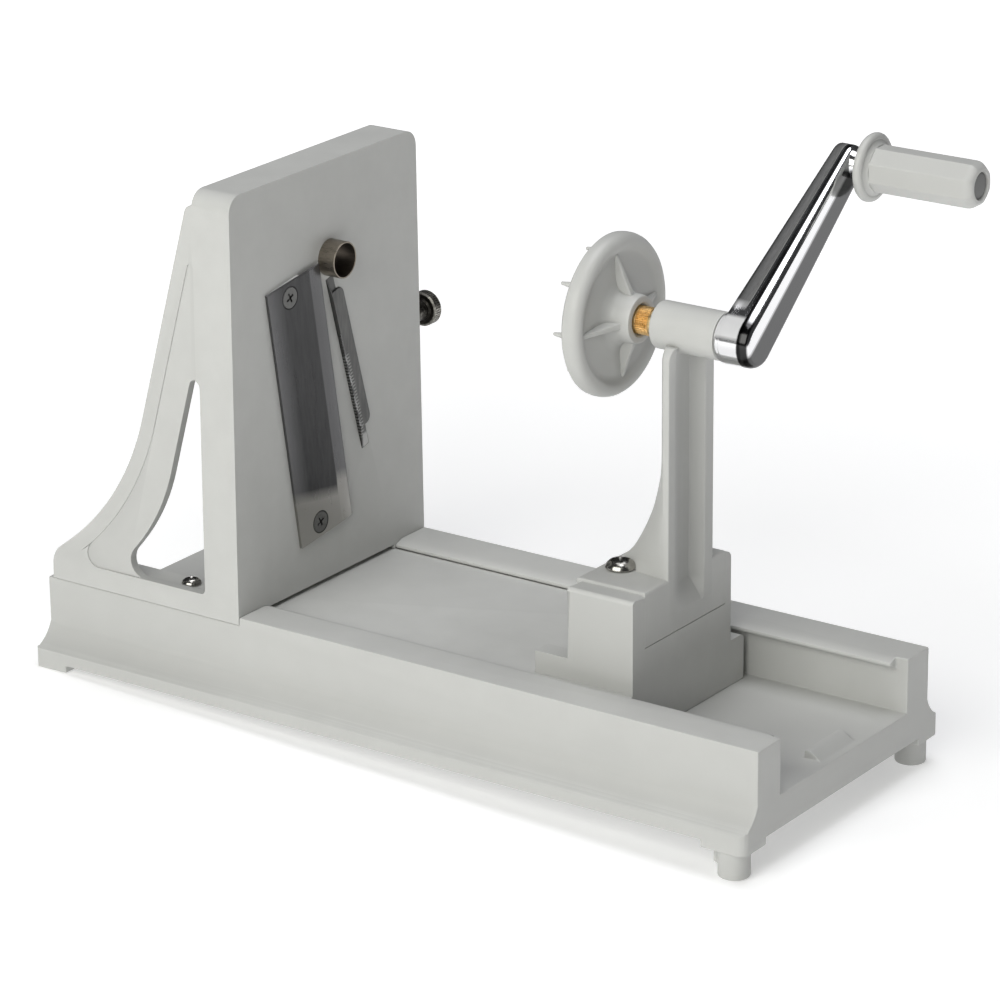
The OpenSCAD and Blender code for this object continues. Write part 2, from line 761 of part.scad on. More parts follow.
module blade_screws() {
    sink = (blade_head_d - blade_screw_d) / 2;
    head_low = blade_head_d - sink;
    slot = [blade_head_d * 0.48, blade_head_d * 0.1, blade_t / 2];
    color(steel) in_frame() on_blade() blade_screw_places() difference() {
        union() {
            translate([0, 0, -blade_screw_len + cut])
                cylinder(h = blade_screw_len + blade_t - sink / 2 - cut, d = blade_screw_d);
            translate([0, 0, blade_t - sink / 2]) cylinder(h = sink / 2, d1 = head_low, d2 = blade_head_d);
        }
        for (turn = [20, 110])
            rotate([0, 0, turn]) translate([-slot.x / 2, -slot.y / 2, blade_t - slot.z]) cube(slot + [0, 0, cut]);
    }
}

module corer_ring() {
    color(steel) in_frame() difference() {
        rod_x(plate_x - skin - 3, plate_x + ring_reach, axis_y, crank_z, ring_d / 2);
        rod_x(plate_x - skin - 3 - cut, plate_x + ring_reach + cut, axis_y, crank_z, ring_d / 2 - ring_wall);
    }
}

tooth_count = floor(tooth_span / tooth_pitch);
module comb_blade() {
    low = -fin_len / 2;
    first = -comb_len / 2 + 3;
    notch = tooth_h * 0.75;
    edge = [for (i = [0 : tooth_count - 1])
        for (p = [[first + i * tooth_pitch, tooth_h], [first + (i + 0.5) * tooth_pitch, tooth_h - notch]]) p];
    color(dark_steel) in_frame() on_comb() {
        rotate([90, 0, 90]) linear_extrude(fin_t)
            polygon(concat([[low, -comb_depth], [low, 0], [first - 1, tooth_h]], edge,
                [[first + tooth_count * tooth_pitch, tooth_h], [comb_len / 2, tooth_h],
                [fin_len / 2, 0], [fin_len / 2, -comb_depth]]));
        comb_tabs(0);
    }
}

module comb_carrier() {
    low = -comb_len / 2 + 1.2;
    face_drop = 1;
    color(dark_steel) in_frame() on_comb()
        translate([0, 0, -comb_depth]) linear_extrude(comb_depth - face_drop)
            polygon(rounded([[fin_t, low, 0], [comb_w, low, 3], [comb_w, low + comb_len, 3],
                [fin_t, low + comb_len, 0]]));
}

// The comb's flank is slanted, so the pad's tip is cut to the same slant
module clamp_pad() {
    flank = comb_y + comb_w / cos(comb_lean);
    function flank_y(z) = flank - (z - comb_mid) * tan(comb_lean);
    color(steel) in_frame()
        along_x(clamp_x - clamp_d / 2, clamp_x + clamp_d / 2)
            polygon([[flank_y(clamp_height - pad_half), clamp_height - pad_half],
                [pad_y, clamp_height - pad_half], [pad_y, clamp_height + pad_half],
                [flank_y(clamp_height + pad_half), clamp_height + pad_half]]);
}

module clamp_bush() {
    color(steel) in_frame() difference() {
        rod_y(rim_y - bush_len, rim_y, clamp_x, clamp_height, bush_d / 2);
        rod_y(rim_y - bush_len - cut, rim_y + cut, clamp_x, clamp_height, clamp_d / 2 + run_gap);
    }
}

knob_y = rim_y + end_gap + knob_neck;
module clamp_screw() {
    color(steel) in_frame()
        rod_y(pad_y, knob_y + knob_t - 1.5, clamp_x, clamp_height, clamp_d / 2);
}

module thumb_knob() {
    color(dark_steel) in_frame() difference() {
        union() {
            rod_y(knob_y, knob_y + knob_t, clamp_x, clamp_height, knob_d / 2);
            rod_y(rim_y + end_gap, knob_y + 0.5, clamp_x, clamp_height, clamp_d / 2 + 2);
        }
        rod_y(rim_y - cut, knob_y + knob_t - 1.5, clamp_x, clamp_height, clamp_d / 2 + seat_fit);
    }
}

module post_screw_places() {
    for (side = [-1, 1])
        translate([block_x - post_screw_x, axis_y + side * post_screw_y, 0]) children();
}
post_screw_len = foot_h + 9;
post_head_h = 4;

module slide_section() {
    flat_half = channel_w / 2 - keeper_reach;
    edge_drop = 1.2;
    polygon([[-slide_half, slide_top - edge_drop], [-flat_half, slide_top], [flat_half, slide_top],
        [slide_half, slide_top - edge_drop], [slide_half, slide_top - edge_drop - slide_t],
        [-slide_half, slide_top - edge_drop - slide_t]]);
}

module slide_carriage() {
    run = slide_half - runner_inset;
    under = slide_top - slide_t - 1.2;
    near_r = 1.5;
    far_r = 3.5;
    end_half = channel_w / 2 - keeper_reach;
    end_r = 2.5;
    color(plastic) in_frame() {
        difference() {
            union() {
                along_x(slide_x, block_x) slide_section();
                both_sides() block([slide_x, -run, floor_z], [block_x, -run + runner_w, under + 0.5]);
                block([block_x - tray_wall, -run, floor_z], [block_x, run, under + 0.5]);
            }
            along_x(block_back, block_x + cut) difference() {
                polygon([[-channel_w, 0], [channel_w, 0], [channel_w, rail_top], [-channel_w, rail_top]]);
                polygon(rounded([[-end_half, 0, 0], [end_half, 0, 0], [end_half, slide_top, end_r],
                    [-end_half, slide_top, end_r]]));
            }
        }
        block([block_back - tab_len, block_y0, under], [block_back + 1, block_y0 + near_cheek, rail_top + tab_h]);
        difference() {
            along_x(block_back, block_x) difference() {
                polygon(rounded([[block_y0, under, 0], [block_y1, under, 0],
                    [block_y1, rail_top + block_h, far_r], [block_y0, rail_top + block_h, near_r]]));
                polygon([[foot_y0, pocket_floor], [foot_y1, pocket_floor],
                    [foot_y1, foot_top + 10], [foot_y0, foot_top + 10]]);
            }
            post_screw_places()
                translate([0, 0, foot_top - post_screw_len - cut])
                    cylinder(h = post_screw_len, d = post_screw_d + 2 * seat_fit);
        }
    }
}

// Column of the post: its back sweeps out towards the foot
column_back = block_x - column_depth;
function column_back_x(z) =
    let (drop = max(0, foot_top + column_flare - z))
    column_back - column_sweep + sqrt(column_sweep * column_sweep - drop * drop);
column_y0 = axis_y + column_shift - column_w / 2;
column_y1 = axis_y + column_shift + column_w / 2;
function column_ring(z) = [
    [block_x, column_y0, z], [block_x, column_y1, z],
    [block_x - 3, column_y1, z], [column_back_x(z), axis_y + column_fin / 2, z],
    [column_back_x(z), axis_y - column_fin / 2, z], [block_x - 3, column_y0, z]
];
module column() {
    z0 = foot_top - 2;
    levels = concat([for (i = [0 : sweep_steps]) z0 + (column_flare + 2) * i / sweep_steps], [crank_z]);
    points = [for (z = levels) for (p = column_ring(z)) p];
    n = 6;
    last = len(levels) - 1;
    sides = [for (k = [0 : last - 1], i = [0 : n - 1])
        for (tri = [[k * n + i, k * n + n + i, k * n + (i + 1) % n],
            [k * n + (i + 1) % n, k * n + n + i, k * n + n + (i + 1) % n]]) tri];
    polyhedron(points, concat([[for (i = [0 : n - 1]) i]], sides,
        [[for (i = [n - 1 : -1 : 0]) last * n + i]]), convexity = 4);
}

module column_groove() {
    low = foot_top - groove_drop;
    ramp = 8;
    bottom_w = 9;
    top = crank_z;
    hull() {
        translate([block_x, axis_y - groove_w / 2, low]) cube([cut, groove_w, top - low]);
        translate([block_x - groove_depth, axis_y - bottom_w / 2, low + ramp])
            cube([cut, bottom_w, top - low - ramp]);
    }
}

module crank_post() {
    corner_r = 1;
    color(plastic) in_frame() difference() {
        union() {
            along_x(block_back - 1.5, block_x)
                polygon(rounded([[foot_y0, pocket_floor, 0], [foot_y1, pocket_floor, 0],
                    [foot_y1, foot_top, corner_r], [foot_y0, foot_top, corner_r]]));
            column();
            rod_x(sleeve_x0, sleeve_x1, axis_y, crank_z, sleeve_d / 2);
        }
        difference() {
            column_groove();
            rod_x(sleeve_x0 - cut, sleeve_x1 + cut, axis_y, crank_z, sleeve_d / 2);
        }
        rod_x(sleeve_x0 - cut, sleeve_x1 + cut, axis_y, crank_z, shaft_d / 2 + run_gap);
        post_screw_places() {
            translate([0, 0, pocket_floor - cut])
                cylinder(h = foot_h + 2 * cut, d = post_screw_d + 2 * seat_fit);
            translate([0, 0, foot_top]) cylinder(h = post_head_h + 1, d = post_head_d + 1.5);
        }
    }
}

module post_screws() {
    color(steel) in_frame() post_screw_places()
        translate([0, 0, foot_top]) pan_screw(post_head_d, post_head_h, post_screw_d, post_screw_len);
}

shaft_x0 = disc_x0 + 2;
shaft_x1 = arm_x1 - 3;
module drive_shaft() {
    color(steel) in_frame() rod_x(shaft_x0, shaft_x1, axis_y, crank_z, shaft_d / 2);
}

module knurled_insert() {
    color(brass) in_frame() difference() {
        rod_x(insert_x0 - hub_recess, insert_x1, axis_y, crank_z, insert_d / 2);
        rod_x(insert_x0 - hub_recess - cut, insert_x1 + cut, axis_y, crank_z, shaft_d / 2 + seat_fit);
    }
}

module disc_section() {
    r = disc_d / 2;
    bore = shaft_d / 2 + seat_fit;
    recess = insert_d / 2 + seat_fit;
    top = hub_h;
    web_r = r - 6.4;
    polygon(concat(
        [[0, 0]],
        corner_arc([0, 0], [r, 0], [r, rim_h], 2.6, arc_steps),
        corner_arc([r, 0], [r, rim_h], [0, rim_h], 3, arc_steps),
        corner_arc([r, rim_h], [r - 4.6, rim_h], [web_r, web_t], 1.2, arc_steps),
        [[web_r, web_t]],
        corner_arc([web_r, web_t], [hub_d / 2, web_t], [hub_d / 2, top], 4, arc_steps),
        corner_arc([hub_d / 2, web_t], [hub_d / 2, top], [recess, top], 0.6, arc_steps),
        [[recess, top], [recess, top - hub_recess], [bore, top - hub_recess], [bore, 2], [0, 2]]));
}

module spiked_disc() {
    rib_t = 2;
    rib_turn = 5;
    spike_turn = 6.5;
    rib_drop = 3.3;
    color(plastic) in_frame() translate([disc_x0, axis_y, crank_z]) rotate([90, 0, 90]) {
        rotate_extrude() disc_section();
        for (i = [0 : rib_count - 1])
            rotate([0, 0, rib_turn + i * 360 / rib_count]) translate([0, rib_t / 2, 0])
                rotate([90, 0, 0]) linear_extrude(rib_t)
                    polygon([[hub_d / 2 - 1, web_t - 1], [hub_d / 2 - 1, hub_h - rib_drop],
                        [hub_d / 2 + 0.5, hub_h - rib_drop], [disc_d / 2 - 6.5, web_t + 0.3],
                        [disc_d / 2 - 6.5, web_t - 1]]);
        for (i = [0 : spike_count - 1])
            rotate([0, 0, spike_turn + i * 360 / spike_count]) translate([spike_ring_r, 0, -spike_len])
                cylinder(h = spike_len + 1, d1 = 1.2, d2 = spike_d, $fn = 24);
    }
}

module arm_frame() {
    translate([0, axis_y, crank_z]) rotate([crank_angle, 0, 0]) children();
}

module crank_arm() {
    arm_step = 1;
    color(chrome) in_frame() arm_frame() difference() {
        union() {
            hull() {
                rod_x(arm_x0 + arm_step, arm_x1, 0, 0, arm_hub_w / 2, $fn = 32);
                rod_x(arm_x1 - arm_tip_t, arm_x1, crank_r, 0, arm_tip_w / 2, $fn = 32);
            }
            rod_x(arm_x0, arm_x1 - 1, 0, 0, sleeve_d / 2);
            rod_x(arm_x1 - 1, arm_x1 + arm_boss, crank_r, 0, spindle_d / 2 + 2);
        }
        rod_x(arm_x0 - cut, shaft_x1, 0, 0, shaft_d / 2 + seat_fit);
        rod_x(arm_x1 - arm_tip_t + 2, arm_x1 + arm_boss + cut, crank_r, 0, spindle_d / 2 + seat_fit);
    }
}

grip_screw_d = 3;
grip_screw_len = 10;
module grip_spindle() {
    color(steel) in_frame() difference() {
        rod_x(arm_x1 - arm_tip_t + 2, grip_head_x, grip_y, grip_z, spindle_d / 2);
        rod_x(grip_head_x - grip_screw_len - cut, grip_head_x + cut, grip_y, grip_z, grip_screw_d / 2 + seat_fit);
    }
}

module crank_grip() {
    body_r = grip_w / 2 / cos(22.5);
    tip_len = 3;
    tip_scale = 0.72;
    color(plastic) in_frame() translate([grip_x0, grip_y, grip_z]) rotate([0, 90, 0]) difference() {
        union() {
            cylinder(h = grip_flange_t, d = grip_flange_d);
            rotate([0, 0, 22.5]) cylinder(h = grip_len - tip_len, r = body_r, $fn = 8);
            translate([0, 0, grip_len - tip_len]) rotate([0, 0, 22.5])
                linear_extrude(tip_len, scale = tip_scale) circle(r = body_r, $fn = 8);
        }
        translate([0, 0, -cut]) cylinder(h = grip_len, d = spindle_d + 2 * run_gap);
        translate([0, 0, grip_head_x - end_gap - grip_x0])
            cylinder(h = grip_len, d = plug_d + 2 * seat_fit);
    }
}

module grip_screw() {
    color(steel) in_frame() difference() {
        union() {
            rod_x(grip_head_x, grip_head_x + grip_head_t, grip_y, grip_z, plug_d / 2 - 1);
            rod_x(grip_head_x - grip_screw_len, grip_head_x + 1, grip_y, grip_z, grip_screw_d / 2);
        }
        translate([grip_head_x + grip_head_t - 1, grip_y - 0.6, grip_z - 4]) cube([2, 1.2, 8]);
    }
}

module grip_plug() {
    color(plug_grey) in_frame()
        rod_x(plug_x0, plug_x0 + plug_len, grip_y, grip_z, plug_d / 2);
}

base_tray();
near_edge_peg();
far_edge_peg();
blade_stand();
stand_screws();
slicing_blade();
blade_screws();
corer_ring();
comb_blade();
comb_carrier();
clamp_bush();
clamp_pad();
clamp_screw();
thumb_knob();
slide_carriage();
crank_post();
post_screws();
drive_shaft();
knurled_insert();
spiked_disc();
crank_arm();
grip_spindle();
crank_grip();
grip_screw();
grip_plug();
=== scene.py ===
"""Hand-cranked spiralizer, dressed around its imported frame.

Every piece is drawn in millimetres from the middle of the base (X along the base towards
the crank, Y across to the far side, Z up from the peg bottoms) and then set in the frame.
"""

from math import asin, atan2, cos, pi, radians, sin, sqrt, tau

import bmesh
import bpy
from bpy.props import FloatProperty, FloatVectorProperty, IntProperty, PointerProperty
from mathutils import Matrix, Vector


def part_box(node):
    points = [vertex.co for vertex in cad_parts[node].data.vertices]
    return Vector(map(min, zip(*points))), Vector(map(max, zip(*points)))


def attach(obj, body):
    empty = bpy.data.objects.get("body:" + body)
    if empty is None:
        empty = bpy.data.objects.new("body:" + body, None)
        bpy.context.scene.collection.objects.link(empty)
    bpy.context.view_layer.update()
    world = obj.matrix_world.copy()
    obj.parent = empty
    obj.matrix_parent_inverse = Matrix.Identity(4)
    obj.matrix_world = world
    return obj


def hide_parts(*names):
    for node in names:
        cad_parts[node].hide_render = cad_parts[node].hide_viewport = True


bl_info = {
    "name": "Hand-cranked spiralizer",
    "version": (1, 0, 0),
    "blender": (4, 5, 0),
    "location": "3D Viewport > Sidebar > Spiralizer",
    "description": "Builds the visible pieces of a hand-cranked turning slicer around its frame",
    "category": "Object",
}

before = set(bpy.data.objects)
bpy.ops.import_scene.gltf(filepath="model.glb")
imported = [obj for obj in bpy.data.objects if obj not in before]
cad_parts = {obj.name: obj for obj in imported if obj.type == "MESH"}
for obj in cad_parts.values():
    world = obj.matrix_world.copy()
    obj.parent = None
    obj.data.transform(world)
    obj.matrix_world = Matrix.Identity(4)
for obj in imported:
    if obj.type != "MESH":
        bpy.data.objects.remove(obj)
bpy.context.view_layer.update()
MM = 0.001
CLOSE = 0.002


def middle_of(node):
    """Middle of a node's box, in metres."""
    low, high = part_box(node)
    return (low + high) / 2


BASE = middle_of("base_tray")
TO_FRAME = Matrix.Translation((BASE.x, BASE.y, 0)) @ Matrix.Scale(MM, 4)
FROM_FRAME = TO_FRAME.inverted()


def span(node):
    """Lowest and highest corner of a node, in millimetres from the middle of the base."""
    low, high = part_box(node)
    return FROM_FRAME @ low, FROM_FRAME @ high


def line_through(low, high):
    """The point at X = 0 on the line along X through the middle of a box."""
    return Vector((0, (low.y + high.y) / 2, (low.z + high.z) / 2))


PLATE_X = span("blade_stand")[1].x
PLUG_X = span("grip_plug")[0].x
DISC_LOW, DISC_HIGH = span("spiked_disc")
POST_LOW, POST_HIGH = span("crank_post")
INSERT_LOW, INSERT_HIGH = span("knurled_insert")
ARM_LOW, ARM_HIGH = span("crank_arm")
GRIP_LOW, GRIP_HIGH = span("crank_grip")
KNOB_LOW, KNOB_HIGH = span("thumb_knob")
AXIS = line_through(INSERT_LOW, INSERT_HIGH)
GRIP_AXIS = line_through(GRIP_LOW, GRIP_HIGH)

# Places and turns of the blade and the comb on the plate
BLADE_MIDDLE = (PLATE_X, -13.5, 116.3)
BLADE_TURN = radians(9.3)
COMB_MIDDLE = (PLATE_X, 9.3, 126.0)
COMB_TURN = radians(15.7)

# The arm's back and front along X, each at the hub and at the tip
ARM_BACK = (107.0, 110.0)
ARM_FRONT = (120.3, 118.0)
ARM_LENGTH = (GRIP_AXIS - AXIS).length
ARM_LEAN = atan2((GRIP_AXIS - AXIS).z, (GRIP_AXIS - AXIS).y)

# Radius of the hole for the shaft, and the gap under the post's foot
SHAFT_HOLE = 4.1
SEAM = 0.3


def on_axis(x, axis=AXIS):
    """A point on the crank's line, or on another line along X."""
    return Vector((x, axis.y, axis.z))


# Mesh tools

def as_mesh(bm, name):
    """A mesh made from the working mesh, which is used up."""
    mesh = bpy.data.meshes.new(name)
    bm.to_mesh(mesh)
    bm.free()
    return mesh


def add_object(name, data):
    """A new object in the scene."""
    made = bpy.data.objects.new(name, data)
    bpy.context.scene.collection.objects.link(made)
    return made


def move(bm, matrix):
    """Moves a whole mesh."""
    bmesh.ops.transform(bm, matrix=matrix, verts=bm.verts)


def turned(degrees, axis):
    """A turn about an axis through the origin."""
    return Matrix.Rotation(radians(degrees), 4, axis)


def new_verts(result):
    """The vertices among what an operation made."""
    return [v for v in result["geom"] if isinstance(v, bmesh.types.BMVert)]


def below(radius, points):
    """Profile points given as (along X, how far within a radius)."""
    return [(x, radius - sunk) for x, sunk in points]


def prism(bm, corners, travel):
    """A flat outline swept along a straight line into a closed solid."""
    face = bm.faces.new([bm.verts.new(corner) for corner in corners])
    made = bmesh.ops.extrude_face_region(bm, geom=[face], use_keep_orig=True)
    bmesh.ops.translate(bm, verts=new_verts(made), vec=travel)


def lathe(bm, profile, centre, steps=48):
    """A profile of (along X, radius) points turned about a line along X.

    A profile that starts off the line is closed into a ring.
    """
    verts = [bm.verts.new((centre.x + x, centre.y, centre.z + r)) for x, r in profile]
    pairs = list(zip(verts, verts[1:] + verts[:1]))
    edges = [bm.edges.new(pair) for pair in (pairs if profile[0][1] > 0 else pairs[:-1])]
    bmesh.ops.spin(bm, geom=verts + edges, cent=centre, axis=(1, 0, 0), dvec=(0, 0, 0),
                   angle=tau, steps=steps, use_merge=True, use_duplicate=False)
    bmesh.ops.remove_doubles(bm, verts=[v for v in bm.verts if v.is_valid], dist=CLOSE)


def loft(bm, rings):
    """Closed rings of equal count joined one after the other, with both ends closed."""
    loops = []
    for ring in rings:
        verts = [bm.verts.new(p) for p in ring]
        loops.append([bm.edges.new(pair) for pair in zip(verts, verts[1:] + verts[:1])])
    for first, second in zip(loops, loops[1:]):
        bmesh.ops.bridge_loops(bm, edges=first + second)
    for loop in (loops[0], loops[-1]):
        bmesh.ops.contextual_create(bm, geom=loop)


def soften(bm, width, segments=2, angle=40, pick=None):
    """Rounds every edge that is sharper than the angle and that pick takes."""
    limit = radians(angle)
    edges = [e for e in bm.edges
             if len(e.link_faces) == 2 and e.calc_face_angle(0) > limit and (pick is None or pick(e))]
    bmesh.ops.bevel(bm, geom=edges, offset=width, offset_type="OFFSET", segments=segments,
                    profile=0.5, affect="EDGES", clamp_overlap=False, material=-1)


def middle(edge):
    """Middle of an edge."""
    return (edge.verts[0].co + edge.verts[1].co) / 2


def inside(low, high):
    """A test for edges whose middle lies in a box."""
    return lambda edge: all(low[i] <= middle(edge)[i] <= high[i] for i in range(3))


def longer(length):
    """A test for edges longer than a length."""
    return lambda edge: edge.calc_length() > length


def cad_copy(node):
    """A merged copy of a CAD node with its flat faces joined, in millimetres."""
    bm = bmesh.new()
    bm.from_mesh(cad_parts[node].data)
    move(bm, FROM_FRAME)
    bmesh.ops.remove_doubles(bm, verts=bm.verts, dist=CLOSE)
    bmesh.ops.dissolve_limit(bm, angle_limit=radians(0.4), verts=bm.verts, edges=bm.edges)
    return bm


def soft_copy(node, width, segments=2, angle=40, pick=None):
    """A CAD copy with rounded edges."""
    bm = cad_copy(node)
    soften(bm, width, segments, angle, pick)
    return bm


def add_part(bm, part):
    """Moves a finished mesh into another one."""
    mesh = as_mesh(part, "part")
    bm.from_mesh(mesh)
    bpy.data.meshes.remove(mesh)


def cross_recess(bm, top, arm, width, depth, turn):
    """Presses a cross, shallower at its ends, into a screw head that stands along Z at the origin."""
    rise = 0.55
    turn = Matrix.Rotation(radians(turn), 3, "Z")
    for axis in (Vector((1, 0, 0)), Vector((0, 1, 0))):
        for offset in (-arm, -width / 2, width / 2, arm):
            normal = turn @ axis
            bmesh.ops.bisect_plane(bm, geom=[*bm.verts, *bm.edges, *bm.faces],
                                   plane_co=normal * offset, plane_no=normal, dist=1e-5)

    def in_cross(face):
        p = turn.inverted() @ face.calc_center_median()
        a, b = sorted((abs(p.x), abs(p.y)))
        return face.normal.z > 0.2 and p.z > top - depth and a < width / 2 and b < arm

    picked = [f for f in bm.faces if in_cross(f)]
    verts = new_verts(bmesh.ops.extrude_face_region(bm, geom=picked))
    bmesh.ops.delete(bm, geom=picked, context="FACES")
    for v in verts:
        reach = min(1, v.co.xy.length / arm)
        v.co.z = top - depth * (1 - rise * reach * reach)


def make_piece(bm, name, body, nodes, finish="Moulded plastic", crease=32):
    """Sets a finished mesh in the frame as a named piece that rides on a body."""
    bmesh.ops.recalc_face_normals(bm, faces=bm.faces)
    move(bm, TO_FRAME)
    for face in bm.faces:
        face.smooth = True
    for edge in bm.edges:
        edge.smooth = len(edge.link_faces) != 2 or edge.calc_face_angle(0) < radians(crease)
    piece = add_object(name, as_mesh(bm, name))
    piece.data.materials.append(finish_named(finish))
    piece.modifiers.new("Face weighted normals", "WEIGHTED_NORMAL").keep_sharp = True
    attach(piece, body)
    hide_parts(*nodes)
    return piece


def dress(node, finish="Screw steel"):
    """Gives a CAD node that stays as it is a finish of its own."""
    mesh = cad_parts[node].data
    mesh.materials.clear()
    mesh.materials.append(finish_named(finish))


# Node tools

class Value:
    """A number that changes over the surface; sums with it become Math nodes."""

    def __init__(self, socket):
        self.socket = socket
        self.tree = socket.id_data

    def math(self, operation, *others):
        """The result of one Math node."""
        made = node(self.tree, "Math", (self, *others), {"operation": operation})
        return Value(made.outputs[0])

    def __add__(self, other):
        return self.math("ADD", other)

    def __sub__(self, other):
        return self.math("SUBTRACT", other)

    def __mul__(self, other):
        return self.math("MULTIPLY", other)

    def __truediv__(self, other):
        return self.math("DIVIDE", other)

    def spread(self, low, high, to_low=0.0, to_high=1.0):
        """The value stretched from one range to another and held inside it."""
        made = node(self.tree, "MapRange", (self, low, high, to_low, to_high))
        return Value(made.outputs[0])

    def band(self, low, high, soft):
        """1 between two limits and 0 beyond them, with soft borders."""
        return self.spread(low - soft, low + soft) * self.spread(high - soft, high + soft, 1.0, 0.0)


def plug(socket, value):
    """Links an input to what feeds it, or gives it a constant."""
    if isinstance(value, Value):
        value = value.socket
    if isinstance(value, bpy.types.NodeSocket):
        socket.id_data.links.new(value, socket)
    else:
        socket.default_value = value


def node(tree, kind, values=(), settings=None, **inputs):
    """One shader node with its inputs, by their order or by their names."""
    made = tree.nodes.new("ShaderNode" + kind)
    for key, value in (settings or {}).items():
        setattr(made, key, value)
    for i, value in enumerate(values):
        plug(made.inputs[i], value)
    for key, value in inputs.items():
        plug(made.inputs[key.replace("_", " ")], value)
    return made


def place_pattern(tree, settings=None, **placing):
    """Object coordinates, turned and stretched."""
    where = node(tree, "TexCoord").outputs["Object"]
    return node(tree, "Mapping", (), settings, Vector=where, **placing).outputs[0]


def local_place(tree, origin, turn=0):
    """Millimetres from a point of the base, along axes turned about X: x, y and z."""
    place = place_pattern(tree, {"vector_type": "TEXTURE"}, Location=TO_FRAME @ Vector(origin),
                          Scale=(MM, MM, MM), Rotation=(turn, 0, 0))
    return [Value(part) for part in node(tree, "SeparateXYZ", (place,)).outputs]


def radius_at(x, y):
    """Distance from the point where both values are 0."""
    return (x * x + y * y).math("SQRT")


def noise(tree, scale, detail=3.0, roughness=0.5, **placing):
    """Noise from 0 to 1."""
    made = node(tree, "TexNoise", Vector=place_pattern(tree, **placing), Scale=scale,
                Detail=detail, Roughness=roughness)
    return Value(made.outputs[0])


def rgba(colour, factor=1.0):
    """A colour with full alpha, made lighter or darker."""
    return (*[min(1.0, c * factor) for c in colour[:3]], 1.0)


def layered(own, tone, *layers):
    """A tone with others over it by their masks; a number is the own colour made lighter or darker."""
    def given(tone):
        if isinstance(tone, (int, float)):
            return rgba(own, tone)
        return rgba(tone) if isinstance(tone, tuple) else tone

    tone = given(tone)
    for mask, over in layers:
        made = node(mask.tree, "Mix", (mask,), {"data_type": "RGBA"})
        plug(made.inputs[6], tone)
        plug(made.inputs[7], given(over))
        tone = made.outputs[2]
    return tone


def bump(height, depth, strength=0.5):
    """A normal that follows a height."""
    made = node(height.tree, "Bump", Height=height, Distance=depth, Strength=strength)
    return made.outputs[0]


def grey(level):
    """A neutral tone."""
    return (level, level, level)


# Effects: node groups that several materials use

def fill_grain(tree, given):
    """Fine moulded grain, and broad uneven patches."""
    fine = noise(tree, 1400.0, 2.0, 0.6) * given["Fineness"]
    return {"Height": fine + noise(tree, 160.0) * 0.6,
            "Patches": noise(tree, 22.0, 4.0, 0.55).spread(0.3, 0.7)}


def fill_edge_light(tree, given):
    """Masks for painted highlights on the edges and painted shade in the corners."""
    point = Value(node(tree, "NewGeometry").outputs["Pointiness"])
    broken = noise(tree, 90.0, 4.0, 0.6)
    return {"Edges": point.spread(0.51, 0.58) * broken * given["Amount"],
            "Corner shade": point.spread(0.49, 0.42) * given["Amount"]}


def fill_lines(tree, given):
    """Fine parallel lines from grinding or brushing, with a few deeper ones."""
    placing = {"Scale": given["Stretch"], "Rotation": given["Turn"]}
    fine = noise(tree, 60.0, 5.0, 0.7, **placing)
    coarse = noise(tree, 11.0, 3.0, 0.6, **placing)
    return {"Height": fine * 0.6 + coarse * 0.4, "Streaks": coarse.spread(0.35, 0.68)}


def fill_smudges(tree, given):
    """Faint smudges and fine scratches from handling."""
    soft = noise(tree, 45.0, 5.0, 0.6).spread(0.42, 0.75)
    slant = [radians(a) for a in (20, 35, 10)]
    thin = noise(tree, 1.0, 2.0, 0.5, Scale=(40, 900, 60), Rotation=slant).spread(0.66, 0.72)
    return {"Smudges": soft * given["Amount"], "Scratches": thin * given["Amount"]}


EFFECTS = {
    "Moulded grain": (fill_grain, {"Fineness": 0.5}, ("Height", "Patches")),
    # Painted light: highlights on the edges and shade in the corners.
    "Edge highlight and corner shade": (fill_edge_light, {"Amount": 1.0}, ("Edges", "Corner shade")),
    "Ground lines": (fill_lines, {"Stretch": (1, 1, 1), "Turn": (0, 0, 0)}, ("Height", "Streaks")),
    "Handling marks": (fill_smudges, {"Amount": 1.0}, ("Smudges", "Scratches")),
}


def build_effect(name):
    """The node group of an effect."""
    fill, inputs, outputs = EFFECTS[name]
    tree = bpy.data.node_groups.new(name, "ShaderNodeTree")
    for label, default in inputs.items():
        kind = "NodeSocketVector" if isinstance(default, tuple) else "NodeSocketFloat"
        tree.interface.new_socket(label, in_out="INPUT", socket_type=kind).default_value = default
    for label in outputs:
        tree.interface.new_socket(label, in_out="OUTPUT", socket_type="NodeSocketFloat")
    given = tree.nodes.new("NodeGroupInput").outputs
    result = tree.nodes.new("NodeGroupOutput").inputs
    for label, value in fill(tree, given).items():
        plug(result[label], value)
    return tree


def use(tree, name, **inputs):
    """An effect placed in a material with its own values; gives its outputs by name."""
    effect = bpy.data.node_groups.get(name) or build_effect(name)
    made = node(tree, "Group", (), {"node_tree": effect}, **inputs)
    return {socket.name: Value(socket) for socket in made.outputs}


# Materials

def start_material(name):
    """A new material and its node tree."""
    material = bpy.data.materials.new(name)
    material.use_nodes = True
    return material, material.node_tree


def settle(material, **inputs):
    """Feeds the shader of a material and gives the material back."""
    shader = material.node_tree.nodes["Principled BSDF"]
    for key, value in inputs.items():
        plug(shader.inputs[key.replace("_", " ")], value)
    return material


